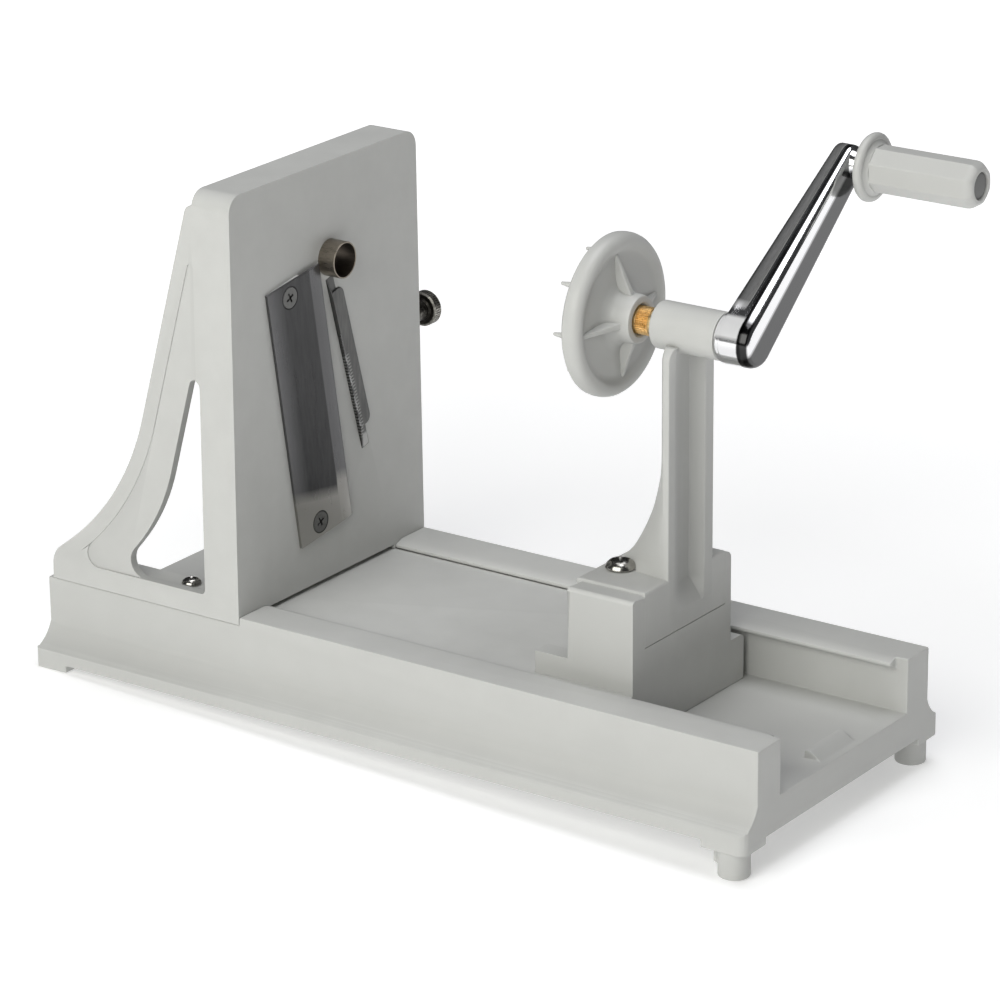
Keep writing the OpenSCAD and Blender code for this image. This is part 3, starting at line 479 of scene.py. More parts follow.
def plastic(name, colour, rough, fineness=0.5, painted_light_amount=0.6):
    """Moulded plastic: fine grain, uneven patches, painted highlights on the edges and painted shade in the
    corners.
    """
    material, tree = start_material(name)
    grain = use(tree, "Moulded grain", Fineness=fineness)
    painted_light = use(tree, "Edge highlight and corner shade", Amount=painted_light_amount)
    marks = use(tree, "Handling marks", Amount=0.35)
    # Lighter edges are a painted highlight, darker corners painted shade.
    tone = layered(colour, 0.975, (grain["Patches"], 1.02), (painted_light["Edges"], 1.2),
                   (painted_light["Corner shade"] * 0.5, 0.72))
    gloss = grain["Patches"].spread(0, 1, rough - 0.03, rough + 0.04) + marks["Scratches"] * 0.1
    return settle(material, Base_Color=tone, Roughness=gloss, Specular_IOR_Level=0.42,
                  Normal=bump(grain["Height"], 0.04 * MM))


def metal(name, colour, rough, stretch, lines=0.3, marks=0.6, dark=0.8):
    """Metal: ground or brushed lines, smudges, scratches, painted shade in the corners and painted highlights
    on the edges.
    """
    material, tree = start_material(name)
    ground = use(tree, "Ground lines", Stretch=stretch)
    handled = use(tree, "Handling marks", Amount=marks)
    painted_light = use(tree, "Edge highlight and corner shade", Amount=1.0)
    # Darker corners are painted shade, lighter edges a painted highlight.
    tone = layered(colour, dark, (ground["Streaks"], 1.05), (painted_light["Corner shade"] * 0.7, 0.3),
                   (painted_light["Edges"] * 0.6, 1.3))
    gloss = ground["Streaks"].spread(0, 1, rough * 0.85, rough * 1.2) + handled["Smudges"] * 0.12
    height = ground["Height"] * lines + handled["Scratches"] * -0.5
    return settle(material, Base_Color=tone, Metallic=1.0, Roughness=gloss,
                  Normal=bump(height, 0.02 * MM, 0.6))


def blade_steel(name, colour):
    """Ground steel: dark where it mirrors the room, lighter at its foot by a painted reflection, and lighter
    at its left edge and its bevel.
    """
    material, tree = start_material(name)
    _, across, along = local_place(tree, BLADE_MIDDLE, BLADE_TURN)
    ground = use(tree, "Ground lines", Stretch=(900, 30, 6), Turn=(BLADE_TURN, 0, 0))
    handled = use(tree, "Handling marks", Amount=0.6)
    upward = along.spread(-30, 52)
    left_edge = across.spread(-15.5, -7, 0.6, 0.0)
    bevel = across.spread(8.0, 8.6)
    level = along + across * 0.3 + noise(tree, 40.0) * 3.0 + bevel * -6.0
    # Painted reflection: the foot and the toe are made lighter.
    foot = level.spread(-37.0, -32.0, 1.0, 0.0)
    toe_reflection = level.spread(-56, -40, 0.4, 0.0)
    rim = across.spread(14.9, 15.3, 0.0, 0.8)
    # Painted shade: a near-black ring around each countersunk screw.
    screw_seat_shade = radius_at(across + 3.5, along.math("ABSOLUTE") - 46.3).band(3.8, 4.45, 0.12)
    tone = layered(colour, 0.7, (upward, 1.15), (left_edge, 4.0), (bevel * 0.7, 3.0),
                   (foot, (0.26, 0.254, 0.238)), (toe_reflection, (0.46, 0.45, 0.425)), (rim, 0.8),
                   (ground["Streaks"] * 0.03, grey(0.6)), (screw_seat_shade * 0.9, grey(0.012)))
    top = along.spread(51.8, 52.1)
    gloss = ground["Streaks"].spread(0, 1, 0.26, 0.38) + handled["Smudges"] * 0.12 + top * 0.5
    return settle(material, Base_Color=tone, Metallic=top.spread(0, 1, 0.9, 0.0), Roughness=gloss,
                  Normal=bump(ground["Height"], 0.01 * MM))


def comb_steel(name, colour):
    """Dull steel with a row of teeth down the lower part of its edge, painted shade in the gaps between them,
    and a brighter tail.
    """
    material, tree = start_material(name)
    _, across, along = local_place(tree, COMB_MIDDLE, COMB_TURN)
    ground = use(tree, "Ground lines", Stretch=(500, 60, 10), Turn=(COMB_TURN, 0, 0))
    handled = use(tree, "Handling marks", Amount=0.5)
    toothed = along.band(-32, 4, 1.0) * across.spread(3.4, 2.6)
    teeth = toothed * along.math("PINGPONG", 0.68).spread(0.24, 0.42)
    tail = along.spread(-31.5, -32.5) * across.spread(0.7, 1.0)
    # The gaps between the teeth are darkened: painted shade.
    tone = layered(colour, 0.8, (ground["Streaks"], 1.15), (teeth, 2.2), ((toothed - teeth) * 0.35, 0.3),
                   (tail, 3.0))
    return settle(material, Base_Color=tone, Metallic=0.9, Normal=bump(ground["Height"], 0.01 * MM),
                  Roughness=handled["Smudges"].spread(0, 1, 0.4, 0.52))


def knob_metal(name, colour):
    """Dark plating: a painted highlight on the edges lightens the knurled rim and the hub; dark in the dished
    face.
    """
    material, tree = start_material(name)
    x, _, z = local_place(tree, (KNOB_LOW + KNOB_HIGH) / 2)
    dish = radius_at(x, z).band(3.9, 5.9, 0.25)
    specks = noise(tree, 900.0, 2.0, 0.6).spread(0.5, 0.62)
    painted_light = use(tree, "Edge highlight and corner shade", Amount=1.0)
    # The light on the edges is a painted highlight.
    tone = layered(colour, (0.1, 0.095, 0.085), (specks, 1), (painted_light["Edges"], (0.8, 0.78, 0.72)),
                   (dish * 0.93, (0.025, 0.023, 0.02)))
    return settle(material, Base_Color=tone, Metallic=1.0, Roughness=specks.spread(0, 1, 0.42, 0.3),
                  Normal=bump(specks, 0.03 * MM))


def arm_plating(name, colour):
    """Polished plating with painted reflections: it darkens across the front, in the side's groove and around
    the hub, with a near-black line and a pale area by the hub.
    """
    material, tree = start_material(name)
    depth, along, across = local_place(tree, AXIS, ARM_LEAN)
    streaks = use(tree, "Ground lines", Stretch=(900, 8, 60), Turn=(ARM_LEAN, 0, 0))
    handled = use(tree, "Handling marks", Amount=0.6)
    on_arm = along.spread(6, 11)
    back = along.spread(0, ARM_LENGTH, *ARM_BACK)
    front = along.spread(0, ARM_LENGTH, *ARM_FRONT)
    share = (depth - back) / (front - back)
    # Painted reflections: the side's groove dark and plain, a darker slope, a near-black line, a pale area by
    # the hub, black around the hub and darkening across the front.
    side = share.band(0.03, 0.5, 0.02) * on_arm
    slope = share.band(0.59, 0.67, 0.02) * on_arm
    line = share.band(0.66, 0.77, 0.02) * 0.96
    hub_highlight = along.band(-5.6, 3.2, 0.8) * share.spread(0.68, 0.64)
    hub = share.band(0.68, 0.95, 0.02) * along.spread(1, 6, 0.97, 0.0)
    side_reflection = layered(grey(0.2), 0.1, (share.spread(0.12, 0.5), 1), (streaks["Streaks"] * 0.6, 0.1))
    shaded = layered(colour, 0.95, (across.spread(2.9, 1.3), 0.12))
    tone = layered(colour, 0.9, (side, side_reflection), (slope, 0.25), (line, 0.02), (hub_highlight, 0.95),
                   (share.spread(0.79, 0.85), shaded), (hub, 0.02))
    plain = side + hub_highlight * 0.7
    gloss = streaks["Streaks"].spread(0, 1, 0.1, 0.17) + handled["Smudges"] * 0.1 + side * 0.4
    height = streaks["Height"] * 0.05 + handled["Scratches"] * -0.4
    return settle(material, Base_Color=tone, Metallic=plain.spread(0, 1, 1.0, 0.0), Roughness=gloss,
                  Normal=bump(height, 0.01 * MM))


# Sizes and colours that a user would change

def rounding(name, whose, width, least=0.1):
    """A setting for rounded edges, in millimetres."""
    return FloatProperty(name=name, description="Rounding of the " + whose, default=width * MM,
                         min=least * MM, unit="LENGTH")


def ridge_count(name, whose, count):
    """A setting for the ridges of a knurled rim."""
    return IntProperty(name=name, description="Ridges around the " + whose, default=count, min=12, max=90)


def tint(name, whose, colour):
    """A setting for the colour of a finish."""
    return FloatVectorProperty(name=name, description="Colour of the " + whose, default=colour,
                               subtype="COLOR", min=0, max=1)


class SpiralizerSizes(bpy.types.PropertyGroup):
    """Sizes of the visible details."""
    tray_edge: rounding("Base edge", "base's edges", 0.7)
    stand_edge: rounding("Stand edge", "blade stand's edges", 0.7)
    carriage_edge: rounding("Carriage edge", "carriage's edges", 0.6)
    post_edge: rounding("Post edge", "crank post's front edges", 0.8)
    blade_edge: rounding("Blade edge", "steel blade's edges", 0.12, 0.01)
    arm_edge: rounding("Arm edge", "crank arm's front edges", 2.2, 0.5)
    knob_ridges: ridge_count("Knob ridges", "thumb knob", 44)
    insert_ridges: ridge_count("Insert ridges", "brass insert", 40)


class SpiralizerColours(bpy.types.PropertyGroup):
    """Colours of the finishes."""
    shell: tint("Plastic", "moulded plastic", (0.5, 0.503, 0.488))
    blade: tint("Blade", "blade's steel", (0.045, 0.045, 0.046))
    bright: tint("Bright metal", "plated arm", (0.86, 0.86, 0.87))
    brass: tint("Brass", "knurled insert", (0.93, 0.68, 0.36))
    plug: tint("Plug", "plug in the grip", (0.16, 0.162, 0.16))
    floor: tint("Floor", "floor", (0.8, 0.8, 0.8))


def sizes():
    """The scene's sizes, in metres."""
    return bpy.context.scene.spiralizer_sizes


def colours():
    """The scene's colours."""
    return bpy.context.scene.spiralizer_colours


def finish_named(name):
    """A finish, built when it is first asked for."""
    if name in bpy.data.materials:
        return bpy.data.materials[name]
    chosen = colours()
    even = (80, 80, 80)
    around = (30, 400, 400)
    makers = {
        "Moulded plastic": (plastic, chosen.shell, 0.46),
        "Disc plastic": (plastic, chosen.shell, 0.42, 0.4, 0.8),
        "Grip plastic": (plastic, chosen.shell, 0.4, 0.3, 0.7),
        "Plug plastic": (plastic, chosen.plug, 0.5, 0.6, 0.5),
        "Blade steel": (blade_steel, chosen.blade),
        "Comb steel": (comb_steel, (0.12, 0.12, 0.117)),
        "Screw steel": (metal, (0.42, 0.41, 0.385), 0.2, even),
        "Sunk screw steel": (metal, (0.13, 0.13, 0.126), 0.3, even),
        "Ring steel": (metal, (0.3, 0.265, 0.22), 0.3, around, 0.6, 0.5),
        # The bore's finish is the ring's steel darkened: painted shade.
        "Ring bore": (metal, (0.1, 0.085, 0.07), 0.4, around, 0.6, 0.5),
        "Knob metal": (knob_metal, (0.4, 0.385, 0.35)),
        "Brass": (metal, chosen.brass, 0.3, (300, 60, 60), 0.3, 0.4, 0.85),
        "Bright plating": (arm_plating, chosen.bright),
    }
    maker, *values = makers[name]
    return maker(name, *values)


# Pieces

class BuildTray(bpy.types.Operator):
    """Base tray with its two pegs"""
    bl_idname = "spiralizer.tray"
    bl_label = "Base tray"

    def execute(self, context):
        width = sizes().tray_edge / MM
        tray = soft_copy("base_tray", width, angle=30, pick=longer(0.3))
        make_piece(tray, "tray_shell", "frame", ["base_tray"])
        for name in ("near_edge_peg", "far_edge_peg"):
            make_piece(soft_copy(name, width), name + "_soft", "frame", [name])
        return {"FINISHED"}


class BuildStand(bpy.types.Operator):
    """Blade stand: upright plate with swept side walls"""
    bl_idname = "spiralizer.stand"
    bl_label = "Blade stand"

    def execute(self, context):
        bm = cad_copy("blade_stand")
        seats = inside((PLATE_X - 40, -50, 55), (PLATE_X + 3, 50, 185))
        plate = inside((PLATE_X - 18, -60, 90), (PLATE_X + 1, 60, 210))
        long_one, visible = longer(1.5), longer(0.6)

        def outer(edge):
            """The long front edges of the plate that show as broad soft corners."""
            return plate(edge) and not seats(edge) and middle(edge).x > PLATE_X - 0.2 and long_one(edge)
        width = sizes().stand_edge / MM
        soften(bm, width * 1.8, 4, 50, outer)
        soften(bm, width * 0.35, pick=lambda e: not seats(e) and not plate(e) and visible(e))
        make_piece(bm, "stand_shell", "frame", ["blade_stand"])
        return {"FINISHED"}


class BuildBlade(bpy.types.Operator):
    """Slicing blade and its two countersunk screws"""
    bl_idname = "spiralizer.blade"
    bl_label = "Slicing blade"

    def execute(self, context):
        make_piece(soft_copy("slicing_blade", sizes().blade_edge / MM), "blade_plate", "frame",
                   ["slicing_blade"], "Blade steel")
        make_piece(soft_copy("blade_screws", 0.1), "blade_screw_heads", "frame", ["blade_screws"],
                   "Sunk screw steel")
        return {"FINISHED"}


class BuildComb(bpy.types.Operator):
    """Comb blade and the bar that carries it"""
    bl_idname = "spiralizer.comb"
    bl_label = "Comb"
    bar_sunk = 0.2

    def execute(self, context):
        make_piece(cad_copy("comb_blade"), "comb_fin", "comb", ["comb_blade"], "Comb steel")
        bm = cad_copy("comb_carrier")
        face = max(v.co.x for v in bm.verts)
        for v in bm.verts:
            if v.co.x > face - 0.1:
                v.co.x = PLATE_X - self.bar_sunk
        soften(bm, 0.35)
        make_piece(bm, "comb_bar", "comb", ["comb_carrier"], "Comb steel")
        return {"FINISHED"}


class BuildRing(bpy.types.Operator):
    """Corer ring, with painted shade inside its bore"""
    bl_idname = "spiralizer.ring"
    bl_label = "Corer ring"
    half_wall = 0.35

    def execute(self, context):
        bm = soft_copy("corer_ring", 0.2, 3)
        low, high = span("corer_ring")
        centre = (low + high) / 2
        bore = (high.z - low.z) / 2 - self.half_wall
        for face in bm.faces:
            away = (face.calc_center_median() - centre).yz.length
            # Faces inside the bore take the painted shade.
            face.material_index = int(away < bore and abs(face.normal.x) < 0.3)
        piece = make_piece(bm, "corer_tube", "frame", ["corer_ring"], "Ring steel")
        piece.data.materials.append(finish_named("Ring bore"))
        return {"FINISHED"}


class BuildKnob(bpy.types.Operator):
    """Thumb knob with its screw, pad and bush"""
    bl_idname = "spiralizer.knob"
    bl_label = "Thumb knob"
    thick = 4.5
    bore = 2.1
    neck = 4.0
    ridge = 0.15

    def execute(self, context):
        bm = bmesh.new()
        radius = (KNOB_HIGH.z - KNOB_LOW.z) / 2
        face = KNOB_HIGH.y - KNOB_LOW.y
        back = face - self.thick
        root = radius - self.ridge
        lathe(bm, [(0, self.bore), (0, self.neck - 0.4), (0.4, self.neck), (back - 0.6, self.neck),
                   (back, 4.6), (back, radius - 0.7), (back + 0.5, root), (face - 0.5, root),
                   (face, radius - 0.7), (face, 4.4), (face - 0.5, 3.9), (face - 0.5, self.bore)],
              Vector((0, 0, 0)), 2 * sizes().knob_ridges)
        rim = [f for f in bm.faces
               if abs(f.normal.x) < 0.2 and f.calc_center_median().yz.length > radius - 0.5]
        rim.sort(key=lambda f: atan2(f.calc_center_median().y, f.calc_center_median().z))
        bmesh.ops.inset_individual(bm, faces=rim[::2], thickness=0.12, depth=self.ridge)
        place = (KNOB_LOW + KNOB_HIGH) / 2
        place.y = KNOB_LOW.y
        move(bm, Matrix.Translation(place) @ turned(90, "Z"))
        make_piece(bm, "knob_knurled", "clamp", ["thumb_knob"], "Knob metal", 24)
        dress("clamp_screw")
        dress("clamp_pad")
        dress("clamp_bush", "Brass")
        return {"FINISHED"}


class BuildCarriage(bpy.types.Operator):
    """Slide carriage with its block and cheeks"""
    bl_idname = "spiralizer.carriage"
    bl_label = "Slide carriage"
    block_start = 63
    block_bottom = 35
    cheek_width = 8
    cheek_top = 78

    def execute(self, context):
        bm = cad_copy("slide_carriage")
        width = sizes().carriage_edge / MM

        def block_corner(edge):
            """The long outer corners of the block and its cheeks, but not those at the post's pocket."""
            p = middle(edge)
            at_pocket = min(abs(p.y - POST_LOW.y), abs(p.y - POST_HIGH.y)) < 0.2
            outside = abs(p.y - POST_LOW.y + self.cheek_width) < 0.3 or p.z > self.cheek_top
            on_block = p.x > self.block_start and p.z > self.block_bottom
            return on_block and outside and not at_pocket and edge.calc_length() > 1.5
        soften(bm, width * 2, 4, 50, block_corner)
        low, high = span("slide_carriage")
        soften(bm, width * 0.8, 2, 50, lambda e: middle(e).z < low.z + 0.2 and middle(e).x > high.x - 0.2)
        soften(bm, width * 0.25, 2, 50, longer(2))
        make_piece(bm, "carriage_shell", "carriage", ["slide_carriage"])
        return {"FINISHED"}


def smooth_step(value, low, high):
    """0 below the low value, 1 above the high one, and a soft rise between them."""
    t = min(1.0, max(0.0, (value - low) / (high - low)))
    return t * t * (3 - 2 * t)


class BuildPost(bpy.types.Operator):
    """Crank post with its foot, column and sleeve"""
    bl_idname = "spiralizer.post"
    bl_label = "Crank post"
    front = 91.2
    foot_top = 80.3
    side_shift = 1.3
    half_width = 14.75
    wall = 3.0
    fin_half = 5.0
    slim = 7.1
    sweep = 87.0
    flare = 53.0
    mouth_half = 10.0
    web_half = 8.3
    web_depth = 5.2
    groove_low = 66.6
    groove_ramp = 8.0
    near_slope = ((0, 10), (0.2, 9.1), (0.6, 8), (1.5, 6), (2.6, 3.5), (3.8, 0.5), (4.7, -2.5), (5.1, -4.5))
    sleeve = ((-26.6, SHAFT_HOLE), (-26.6, 7.9), (-26.3, 8.4), (-25.7, 8.7), (-0.5, 8.7), (-0.15, 8.55),
              (0, 8.2), (0, SHAFT_HOLE))

    def execute(self, context):
        self.corner = sizes().post_edge / MM
        bm = bmesh.new()
        self.foot(bm)
        top = AXIS.z - 4.6
        levels = [POST_LOW.z + SEAM, self.groove_low - 0.3, self.groove_low]
        runs = ((self.groove_low + 1, 1, 12), (self.foot_top - 1, 1, 8), (self.foot_top + 8, 3, 16),
                (self.foot_top + 60, 0, 1), (top - 6, 0.6, 11))
        levels += [start + step * i for start, step, count in runs for i in range(count)]
        loft(bm, [self.section(z) for z in levels])
        lathe(bm, self.sleeve, on_axis(POST_HIGH.x), 64)
        make_piece(bm, "post_shell", "carriage", ["crank_post"], crease=26)
        return {"FINISHED"}

    def foot(self, bm):
        """The foot, open at the front where the column stands in it."""
        near = AXIS.y + self.side_shift - self.half_width + self.corner
        far = AXIS.y + self.side_shift + self.half_width - self.corner
        x0, y0, z0 = POST_LOW + Vector((0, 0, SEAM))
        y1 = POST_HIGH.y
        front = self.front
        back = front - self.web_depth - 0.1
        outline = [(x0, y0), (front, y0), (front, near), (back, near), (back, far), (front, far),
                   (front, y1), (x0, y1)]
        part = bmesh.new()
        prism(part, [(x, y, z0) for x, y in outline], (0, 0, self.foot_top - z0))

        def beside(edge):
            return not near - 0.1 < middle(edge).y < far + 0.1

        def rim(edge):
            p = middle(edge)
            return p.z > self.foot_top - 0.1 and (beside(edge) or p.x <= back - 0.1)
        soften(part, 1.1, 4, 50, rim)
        soften(part, 0.12, 2, 50, lambda e: abs(e.verts[0].co.z - e.verts[1].co.z) > 5 and beside(e))
        add_part(bm, part)

    def back_at(self, z):
        """Where the column's back stands at a height: it sweeps out to the foot and runs flat into it."""
        drop = max(0.0, self.foot_top + self.flare - max(z, self.foot_top - 2))
        rest = self.front - self.slim - self.sweep + sqrt(self.sweep ** 2 - drop * drop)
        near_foot = 1 - smooth_step(z, self.foot_top - 1, self.foot_top + 9)
        return max(rest - 2.4 * near_foot * near_foot, POST_LOW.x + 0.4)

    def section(self, z):
        """Outline of the column at a height, with its groove open to the front."""
        straight = min(1.0, max(0.0, (z - self.groove_low) / self.groove_ramp))
        deep = straight * 0.7 + smooth_step(z, self.groove_low, self.groove_low + self.groove_ramp) * 0.3
        squeeze = 1 - 0.3 * smooth_step(z, AXIS.z - 9.5, AXIS.z - 3) ** 2
        back = self.back_at(z)
        fillet = 1.6 * (1 - smooth_step(z, self.foot_top - 0.5, self.foot_top + 4))
        front, fin, c = self.front, self.fin_half, self.corner
        flank = front - self.wall
        web = front - self.web_depth * deep
        points = []
        for side in (-1, 1):
            edge = self.half_width + side * self.side_shift
            run = [(front, edge - c), (front - 0.25 * c, edge - 0.25 * c), (front - c, edge),
                   (flank + 0.6, edge)]
            for i in range(1, 7):
                t = i / 7
                bow = 0.5 * sin(pi * t) + fillet * sin(pi * t) ** 2
                run.append((flank + (back - flank) * t, edge + (fin - edge) * t + bow))
            run += [(back + 0.5, fin - 0.3), (back + 0.1, fin - 1.1), (back, fin - 2.2)]
            lip = [(front, self.mouth_half + 0.5), (front - 0.35 * deep, self.mouth_half),
                   (web + 1.1 * deep, self.web_half + 0.15), (web + 0.3 * deep, self.web_half - 0.2),
                   (web, self.web_half - 0.7)]
            if side < 0:
                lip = [(front - sunk * deep, y) for sunk, y in self.near_slope]
            half = [(x, AXIS.y + side * y * squeeze, z) for x, y in lip[::-1] + run]
            points = half + points[::-1] if side > 0 else points + half
        return points


def domed_screw(bm, size, place, turn):
    """A round-headed cross screw; its size is head, height, shank and length, its place the seat."""
    head, height, shank, length = size
    part = bmesh.new()
    profile = [(-length, 0), (-length, shank / 2), (0, shank / 2), (0, head * 0.44),
               (height * 0.08, head * 0.485)]
    for degrees in range(0, 90, 15):
        a = radians(degrees)
        profile.append((height * (0.18 + 0.82 * sin(a)), head / 2 * cos(a)))
    lathe(part, profile + [(height, 0)], Vector((0, 0, 0)), 36)
    move(part, turned(-90, "Y"))
    bmesh.ops.recalc_face_normals(part, faces=part.faces)
    cross_recess(part, height, head * 0.3, head * 0.11, height * 0.5, turn)
    move(part, Matrix.Translation(place))
    add_part(bm, part)


class BuildScrews(bpy.types.Operator):
    """Round-headed screws of the stand and the post, and the grip's screw"""
    bl_idname = "spiralizer.screws"
    bl_label = "Screws"
    stand_size = (7.5, 2.8, 4, 14)
    post_size = (11.3, 4, 6, 28)

    def execute(self, context):
        bm = bmesh.new()
        low, high = span("stand_screws")
        head, height = self.stand_size[:2]
        for i, x in enumerate((low.x + head / 2, high.x - head / 2)):
            for j, y in enumerate((low.y + head / 2, high.y - head / 2)):
                domed_screw(bm, self.stand_size, (x, y, high.z - height), 15 + 20 * i + 35 * j)
        make_piece(bm, "stand_screw_heads", "frame", ["stand_screws"], "Screw steel")
        bm = bmesh.new()
        low, high = span("post_screws")
        head, height = self.post_size[:2]
        for j, y in enumerate((low.y + head / 2, high.y - head / 2)):
            domed_screw(bm, self.post_size, ((low.x + high.x) / 2, y, high.z - height), 40 + 25 * j)
        make_piece(bm, "post_screw_heads", "carriage", ["post_screws"], "Screw steel")
        dress("grip_screw")
        return {"FINISHED"}


class BuildDisc(bpy.types.Operator):
    """Spiked disc, its brass insert and the shaft"""
    bl_idname = "spiralizer.disc"
    bl_label = "Spiked disc"
    spikes = 8
    spike_length = 6.6
    spike_circle = 23.5
    ribs = 4
    rib_root = 7.9
    rim = ((0, 1.9), (0.35, 0.9), (1.1, 0.2), (2.2, 0), (3.8, 0), (5.2, 0.35), (6.3, 1.1), (7, 2.2),
           (7.2, 3.3), (7.05, 4.3), (6.6, 5.2), (6.1, 5.9), (5.6, 6.9), (5.4, 8.2))
    hub = ((5.4, 16), (5.6, 13.3), (6.1, 11.6), (7, 10.3), (8.3, 9.5), (10, 9.05), (14, 8.75), (14.7, 8.5),
           (15, 7.9), (15, 6.4), (14.6, 5.8), (13.5, 5.65), (13.5, SHAFT_HOLE))

    def execute(self, context):
        bm = bmesh.new()
        radius = (DISC_HIGH.z - DISC_LOW.z) / 2
        centre = on_axis(DISC_LOW.x + self.spike_length)
        lathe(bm, [(0, SHAFT_HOLE), *below(radius, self.rim), *self.hub], centre, 96)
        for i in range(self.ribs):
            rib = bmesh.new()
            outline = [(4.6, self.rib_root), (12.3, self.rib_root), (11.7, 9.3), (8.9, 15.5),
                       (6, radius - 6.4), (4.6, radius - 6)]
            prism(rib, [(x, 1.0, r) for x, r in outline], (0, -2.0, 0))
            for v in rib.verts:
                v.co.y *= 1.25 - 0.5 * (v.co.z - self.rib_root) / (radius - 14)
            soften(rib, 0.5, 3, 30)
            move(rib, Matrix.Translation(centre) @ turned(5 + 360 / self.ribs * i, "X"))
            add_part(bm, rib)
        spike = [(-self.spike_length, 0), (-self.spike_length, 0.45), (0.25 - self.spike_length, 0.62),
                 (-1, 1.3), (0, 1.75), (1.2, 1.75), (1.2, 0)]
        for i in range(self.spikes):
            angle = radians(6.5 + 360 / self.spikes * i)
            lathe(bm, spike, centre + self.spike_circle * Vector((0, cos(angle), sin(angle))), 16)
        make_piece(bm, "disc_spiked", "crank", ["spiked_disc"], "Disc plastic")
        self.insert()
        dress("drive_shaft")
        dress("grip_spindle")
        return {"FINISHED"}

    def insert(self):
        """Brass insert with a knurled band between plain collars."""
        bm = bmesh.new()
        radius = (INSERT_HIGH.z - INSERT_LOW.z) / 2
        length = INSERT_HIGH.x - INSERT_LOW.x
        bore = 4.05
        rows = 12
        start, end = 1.7, length - 2.6
        band = [(start + (end - start) * i / rows, 0.35) for i in range(rows + 1)]
        profile = below(radius, [(0, 0.3), (start - 0.2, 0.3), *band, (end + 0.2, 0.6), (end + 0.9, 0.6),
                                 (end + 1.1, 0.15), (length - 0.3, 0.15), (length, 0.5)])
        centre = on_axis(INSERT_LOW.x)
        lathe(bm, [(0, bore), *profile, (length, bore)], centre, sizes().insert_ridges)

        def knurled(face):
            p = face.calc_center_median() - centre
            return start < p.x < end and p.yz.length > radius - 0.6
        bmesh.ops.poke(bm, faces=[f for f in bm.faces if knurled(f)], offset=0.4)
        make_piece(bm, "insert_knurled", "crank", ["knurled_insert"], "Brass", 15)


def capsule(length, hub, tip):
    """Outline of the arm: two circles joined by their tangents, as (along, across) points."""
    steps, along = 14, 16
    lean = asin((hub - tip) / length)
    points = []
    for centre, radius, start, stop in ((0, hub, pi / 2 - lean, 3 * pi / 2 + lean),
                                        (length, tip, -pi / 2 + lean, pi / 2 - lean)):
        for i in range(steps + 1):
            a = start + (stop - start) * i / steps
            points.append(Vector((centre + radius * cos(a), radius * sin(a))))
    outline = []
    for first, second in zip(points, points[1:] + points[:1]):
        count = along if (second - first).length > length / 2 else 1
        outline += [first.lerp(second, i / count) for i in range(count)]
    return outline


class BuildArm(bpy.types.Operator):
    """Polished crank arm"""
    bl_idname = "spiralizer.arm"
    bl_label = "Crank arm"
    hub_radius = 9.3
    tip_radius = 6.75
    groove = 0.7
    front_start = 0.72
    side_steps = ((0, 1.5, 0), (0.015, 0.9, 0), (0.05, 0.35, 0), (0.1, 0.05, 0), (0.14, 0, 0), (0.2, 0, 0.3),
                  (0.28, 0, 0.8), (0.36, 0, 1), (0.43, 0, 0.8), (0.49, 0, 0.3), (0.53, 0, 0.06), (0.56, 0, 0),
                  (0.66, 0, 0))

    def execute(self, context):
        bm = bmesh.new()
        steps = list(self.side_steps)
        for i in range(9):
            a = pi / 2 * i / 8
            steps.append((self.front_start + (1 - self.front_start) * sin(a),
                          sizes().arm_edge / MM * (1 - cos(a)), 0))
        loft(bm, [self.ring(*step) for step in steps])
        back, tip, boss = ARM_BACK[0], ARM_FRONT[1], ARM_HIGH.x
        lathe(bm, [(ARM_LOW.x, SHAFT_HOLE), (ARM_LOW.x, 8.3), (ARM_LOW.x + 0.3, 8.7), (ARM_LOW.x + 0.9, 9.0),
                   (back + 0.6, 9.15), (back + 2, 9.15), (back + 2, SHAFT_HOLE)], Vector((0, 0, 0)), 64)
        lathe(bm, [(tip - 3, 0), (tip - 3, 6), (tip - 0.4, 5.9), (tip + 0.8, 5.3), (boss - 1, 5),
                   (boss - 0.4, 4.9), (boss, 4.4), (boss, 0)], Vector((0, ARM_LENGTH, 0)))
        move(bm, Matrix.Translation(AXIS) @ Matrix.Rotation(ARM_LEAN, 4, "X"))
        make_piece(bm, "arm_polished", "crank", ["crank_arm"], "Bright plating")
        return {"FINISHED"}

    def ring(self, depth, inset, grooved):
        """One outline at a share of the arm's depth, drawn in by an inset and the side's groove."""
        hub, tip = self.hub_radius - inset, self.tip_radius - inset
        points = []
        for plain, sunk in zip(capsule(ARM_LENGTH, hub, tip),
                               capsule(ARM_LENGTH, hub - self.groove, tip - self.groove)):
            reach = smooth_step(plain.x, 7, 15) * smooth_step(plain.x, ARM_LENGTH + 4, ARM_LENGTH - 6)
            y, z = plain.lerp(sunk, grooved * reach)
            t = min(1, max(0, y / ARM_LENGTH))
            back, front = (first + (last - first) * t for first, last in (ARM_BACK, ARM_FRONT))
            points.append((back + (front - back) * depth, y, z))
        return points


